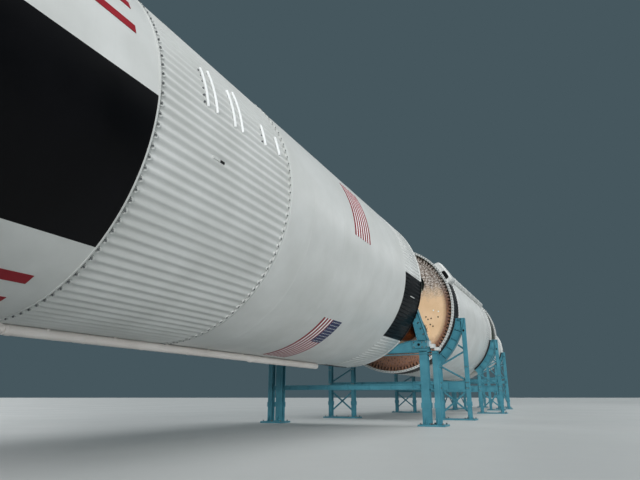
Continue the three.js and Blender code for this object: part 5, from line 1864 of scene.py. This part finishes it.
def eye(shell, x0, x1, y, z):
    """A collar on both faces of a stand, around a near-black disc that is painted shade for a round hole."""
    for x, sign in ((x0, -1), (x1, 1)):
        shell.take(part_of(hoop, 0, sign * 0.03, 0.085, 0.13, 24, finish=TEAL), shifted(x, y, z))
        shell.take(part_of(disc, 0, sign * 0.008, 0.09, 24, finish=HOLE_SHADE), shifted(x, y, z))


def tie_beam(shell, middle, reach, low, high):
    """A beam of two flanges and a web between the two sides of a stand."""
    block(shell, (middle - 0.03, -reach, low), (middle + 0.03, reach, high))
    for z in (low, high - PLATE):
        block(shell, (middle - TIE_HALF, -reach, z), (middle + TIE_HALF, reach, z + PLATE))
    for k in range(-3, 4):
        y = k * reach / 4
        block(shell, (middle - 0.1, y - 0.02, low), (middle + 0.1, y + 0.02, high))


def saddle_side(x0, x1, hull):
    """The far side of a saddle stand: a curved arm with ribs and a pad, two posts and their braces."""
    shell = Shell(TEAL, RUBBER, HOLE_SHADE, STAINLESS)
    middle = (x0 + x1) / 2
    inner, outer = SADDLE["inner_post"] * hull, SADDLE["outer_post"] * hull
    top, rim_radius = SADDLE["arm_top"] * hull, SADDLE["arm_outer"] * hull
    node = -SADDLE["node"] * hull
    tie_top = node - TIE_DROP * (AXIS_HEIGHT + node)
    tie_low = tie_top - SADDLE["tie_depth"] * hull
    seat = hull + PAD

    def curved(inside, outside, start, end, slot=0):
        cross_plate(shell, arm_arc(inside, top) + arm_arc(outside, top)[::-1], start, end, slot)
    curved(seat, rim_radius, middle - 0.03, middle + 0.03)
    curved(seat, seat + PLATE, x0, x1)
    curved(rim_radius - PLATE, rim_radius, x0, x1)
    curved(hull + 0.005, seat + 0.002, x0 + 0.03, x1 - 0.03, 1)
    for k in range(SADDLE_RIBS + 1):
        turn = math.radians(SADDLE_LOW + k * (SADDLE_RIB_TOP - SADDLE_LOW) / SADDLE_RIBS)
        out = Vector((math.cos(turn), math.sin(turn)))
        along = Vector((-out.y, out.x))
        corners = [out * seat, out * rim_radius, out * rim_radius + along * PLATE, out * seat + along * PLATE]
        cross_plate(shell, [tuple(corner) for corner in corners], x0 + 0.02, x1 - 0.02)
    crown = arm_arc(seat, top)[-1][0]
    block(shell, (x0, crown, -top - PLATE), (x1, outer + POST_HALF, -top))
    post(shell, inner, POST_HALF, -SADDLE["inner_post_top"] * hull, x0, x1)
    post(shell, outer, POST_HALF, -top - 0.02, x0, x1)
    low = 0.5 - AXIS_HEIGHT
    braces = (((inner, node), (outer, -SADDLE["brace_top"] * hull)), ((inner, node), (outer, tie_top)),
              ((inner, tie_low), (outer, low)), ((outer, tie_low), (inner, low)),
              ((1.008 * hull, -0.6 * hull), (outer, -0.676 * hull)))
    for start, end in braces:
        angle_brace(shell, middle, start, end)
    foot(shell, ((inner, POST_HALF), (outer, POST_HALF)), x0, x1)
    knots = [(y, z) for y in (inner - 0.07, inner + 0.07, outer - 0.07, outer + 0.07)
             for z in (node - 0.12, tie_top - 0.12, tie_low + 0.12)]
    bolt_rows(shell, x0, x1, knots)
    eye(shell, x0, x1, outer, -0.392 * hull)
    return shell, outer, tie_low, tie_top


# The end stand, as in the CAD model: [y, z] outlines on the far side, and columns as [y, half width]
BRACKET = ((4.15, -1.3), (4.57, -1.3), (5.26, -3.6), (4.6, -3.6), (4.38, -2.54))
BEAM = ((0.0, -4.28), (5.3, -4.28), (5.3, -3.55), (4.1, -3.57), (2.9, -3.85), (0.0, -3.85))
COLUMNS = ((4.92, 0.245), (5.6, 0.15))
COLUMN_TOP = -4.2
BEAM_END = 5.76
END_TIE = (-6.4, -6.1)
EYE_PLACE = (4.68, -3.82)
# Pale shims stacked at the beam's end: [y, y, z, z]
SHIMS = ((5.05, 5.35, -3.95, -3.6), (5.35, 5.6, -4.05, -3.8), (5.6, 5.9, -4.2, -4.0))


def edge_flanges(shell, outline, x0, x1):
    """Flat bars along a plate's edges, inside its outline."""
    middle = sum((Vector(place) for place in outline), Vector((0.0, 0.0))) / len(outline)
    for start, end in zip(outline, outline[1:] + outline[:1]):
        start, end = Vector(start), Vector(end)
        inwards = Vector((start.y - end.y, end.x - start.x)).normalized() * PLATE
        if inwards.dot(middle - start) < 0:
            inwards = -inwards
        cross_plate(shell, [tuple(place) for place in (start, end, end + inwards, start + inwards)], x0, x1)


def end_side(x0, x1):
    """The far side of the end stand: a bracket bolted to the skirt's flange, on a beam on two columns."""
    shell = Shell(TEAL, STAINLESS, HOLE_SHADE, WHITE)
    for outline in (BRACKET, BEAM):
        cross_plate(shell, outline, x0 + 0.12, x1 - 0.12)
        edge_flanges(shell, outline, x0, x1)
    for y, half in COLUMNS:
        post(shell, y, half, COLUMN_TOP, x0, x1)
    block(shell, (x0, 0.0, COLUMN_TOP - 0.2), (x1, BEAM_END, COLUMN_TOP - 0.16))
    block(shell, (x0, 4.2, COLUMN_TOP - 0.04), (x1, BEAM_END, COLUMN_TOP))
    y, z = EYE_PLACE
    block(shell, (x0, y - 0.4, z - 0.2), (x1, y + 0.55, z + 0.2))
    eye(shell, x0, x1, y, z)
    for near, far, low_z, high_z in SHIMS:
        block(shell, (x0 + 0.02, near, low_z), (x1 - 0.02, far, high_z), 3)
    foot(shell, COLUMNS, x0, x1)
    bolt_rows(shell, x0, x1, [(y + dy, z + dz) for dy in (-0.3, 0.2, 0.45) for dz in (-0.14, 0.14)])
    bolt_rows(shell, x0, x1, [(4.3 + 0.14 * k, -1.45 - 0.35 * k) for k in range(6)])
    return shell


def finish_stand(name, side, x0, x1, reach, tie):
    """Both sides of a stand and the beam that ties them, between two levels."""
    whole = Shell(*side.finishes)
    whole.take(side)
    whole.take(side, Matrix.Scale(-1, 4, Vector((0, 1, 0))))
    tie_beam(whole, (x0 + x1) / 2, reach, *tie)
    dress(name, "frame", whole, slot="teal_paint", chamfer=0.008)


def stand_faces(name):
    """The stations of a stand's faces, inside its base plates."""
    low, high = span(name)
    return low + FOOT["reach"], high - FOOT["reach"]


def add_stands():
    for name, hull in SADDLE_STANDS.items():
        faces = stand_faces(name)
        side, reach, *tie = saddle_side(*faces, hull)
        finish_stand(name, side, *faces, reach, tie)
    faces = stand_faces("stand_2")
    finish_stand("stand_2", end_side(*faces), *faces, COLUMNS[-1][0], END_TIE)


# Floor, backdrop and lamps
BACKDROP = "46575E"
FLOOR_HALF = 400.0


def add_stage():
    """A wide pale floor and a dark slate backdrop, against which the pale hull stands out."""
    mesh = bpy.data.meshes.new("floor")
    corners = [(x * FLOOR_HALF, y * FLOOR_HALF, 0) for x, y in ((-1, -1), (1, -1), (1, 1), (-1, 1))]
    mesh.from_pydata(corners, [], [(0, 1, 2, 3)])
    mesh.materials.append(CONCRETE)
    shown("floor", mesh)
    world = bpy.data.worlds.new("studio")
    world.use_nodes = True
    world.node_tree.nodes.clear()
    sky = put(world.node_tree, "ShaderNodeBackground", {"Color": BACKDROP, "Strength": 1.0})
    put(world.node_tree, "ShaderNodeOutputWorld", {"Surface": sky.outputs[0]})
    bpy.context.scene.world = world
    bpy.context.scene.view_settings.view_transform = "Standard"


# Broad distant lights: name, the way towards the light, strength, softness in degrees, whether gloss
# mirrors it
SUNS = (
    ("overhead", (0.05, -0.3, 0.95), 1.85, 50.0, False),
    ("view_side", (-0.88, -0.44, 0.18), 2.15, 20.0, False),
    ("near_side", (0.1, -0.99, 0.1), 0.42, 30.0, False),
    ("far_side", (0.2, 0.85, 0.5), 0.7, 50.0, True),
)
# A long narrow lamp that draws a soft highlight along the hull
STRIP = {"station": 3.0, "angle": 38.0, "distance": 3.7, "length": 14.0, "width": 0.14, "watts": 38.0}


def hang(data, place, back):
    """A lamp at a place, facing away from a direction."""
    back = Vector(back).normalized()
    along = (Vector((1, 0, 0)) - back * back.x).normalized()
    lamp = bpy.data.objects.new(data.name, data)
    turn = Matrix((along.cross(back), along, back)).transposed().to_4x4()
    lamp.matrix_world = Matrix.Translation(place) @ turn
    bpy.context.scene.collection.objects.link(lamp)
    return lamp


def add_lamps():
    for name, towards, strength, softness, mirrored in SUNS:
        data = bpy.data.lights.new(name, "SUN")
        data.energy = strength
        data.angle = math.radians(softness)
        hang(data, 10 * Vector(towards), towards).visible_glossy = mirrored
    data = bpy.data.lights.new("near_strip", "AREA")
    data.shape = "RECTANGLE"
    data.size = STRIP["width"]
    data.size_y = STRIP["length"]
    data.energy = STRIP["watts"]
    y, z = spot(STRIP["angle"], STRIP["distance"])
    hang(data, (STRIP["station"], y, z + ORIGIN.z), (0, y, z))


add_stage()
add_lamps()

add_fuel_tank()
add_red_bars()
add_intertank()
add_oxidizer_tank()
add_striped_panels()
add_forward_skirt("first", black=True, marks=SKIRT_MARK)
cable_tunnel("cable_tunnel_lower", -90)
cable_tunnel("cable_tunnel_upper", 90)
add_thrust_structure()
# Numbered as in the CAD model: near upper, near lower, far lower, far upper
CORNER_ANGLES = (45, -45, -135, -225)
for number, corner_angle in enumerate(CORNER_ANGLES, 1):
    engine_fairing(number, corner_angle)
    fin(number, corner_angle)
place_engines("first", big_engine(), BIG_GIMBAL)

add_second_aft_skirt()
add_heat_shield()
add_thrust_cone()
add_second_tank()
add_forward_skirt("second")
add_second_tunnel()
place_engines("second", small_engine(), SMALL_GIMBAL)

add_interstage()
add_third_tank()
add_forward_skirt("third")
add_third_engine()
add_control_modules()
add_instrument_ring()
add_adapter()
add_service_module()
add_crew_module()
add_hatch()
add_escape_tower()
add_escape_motor()
add_stands()
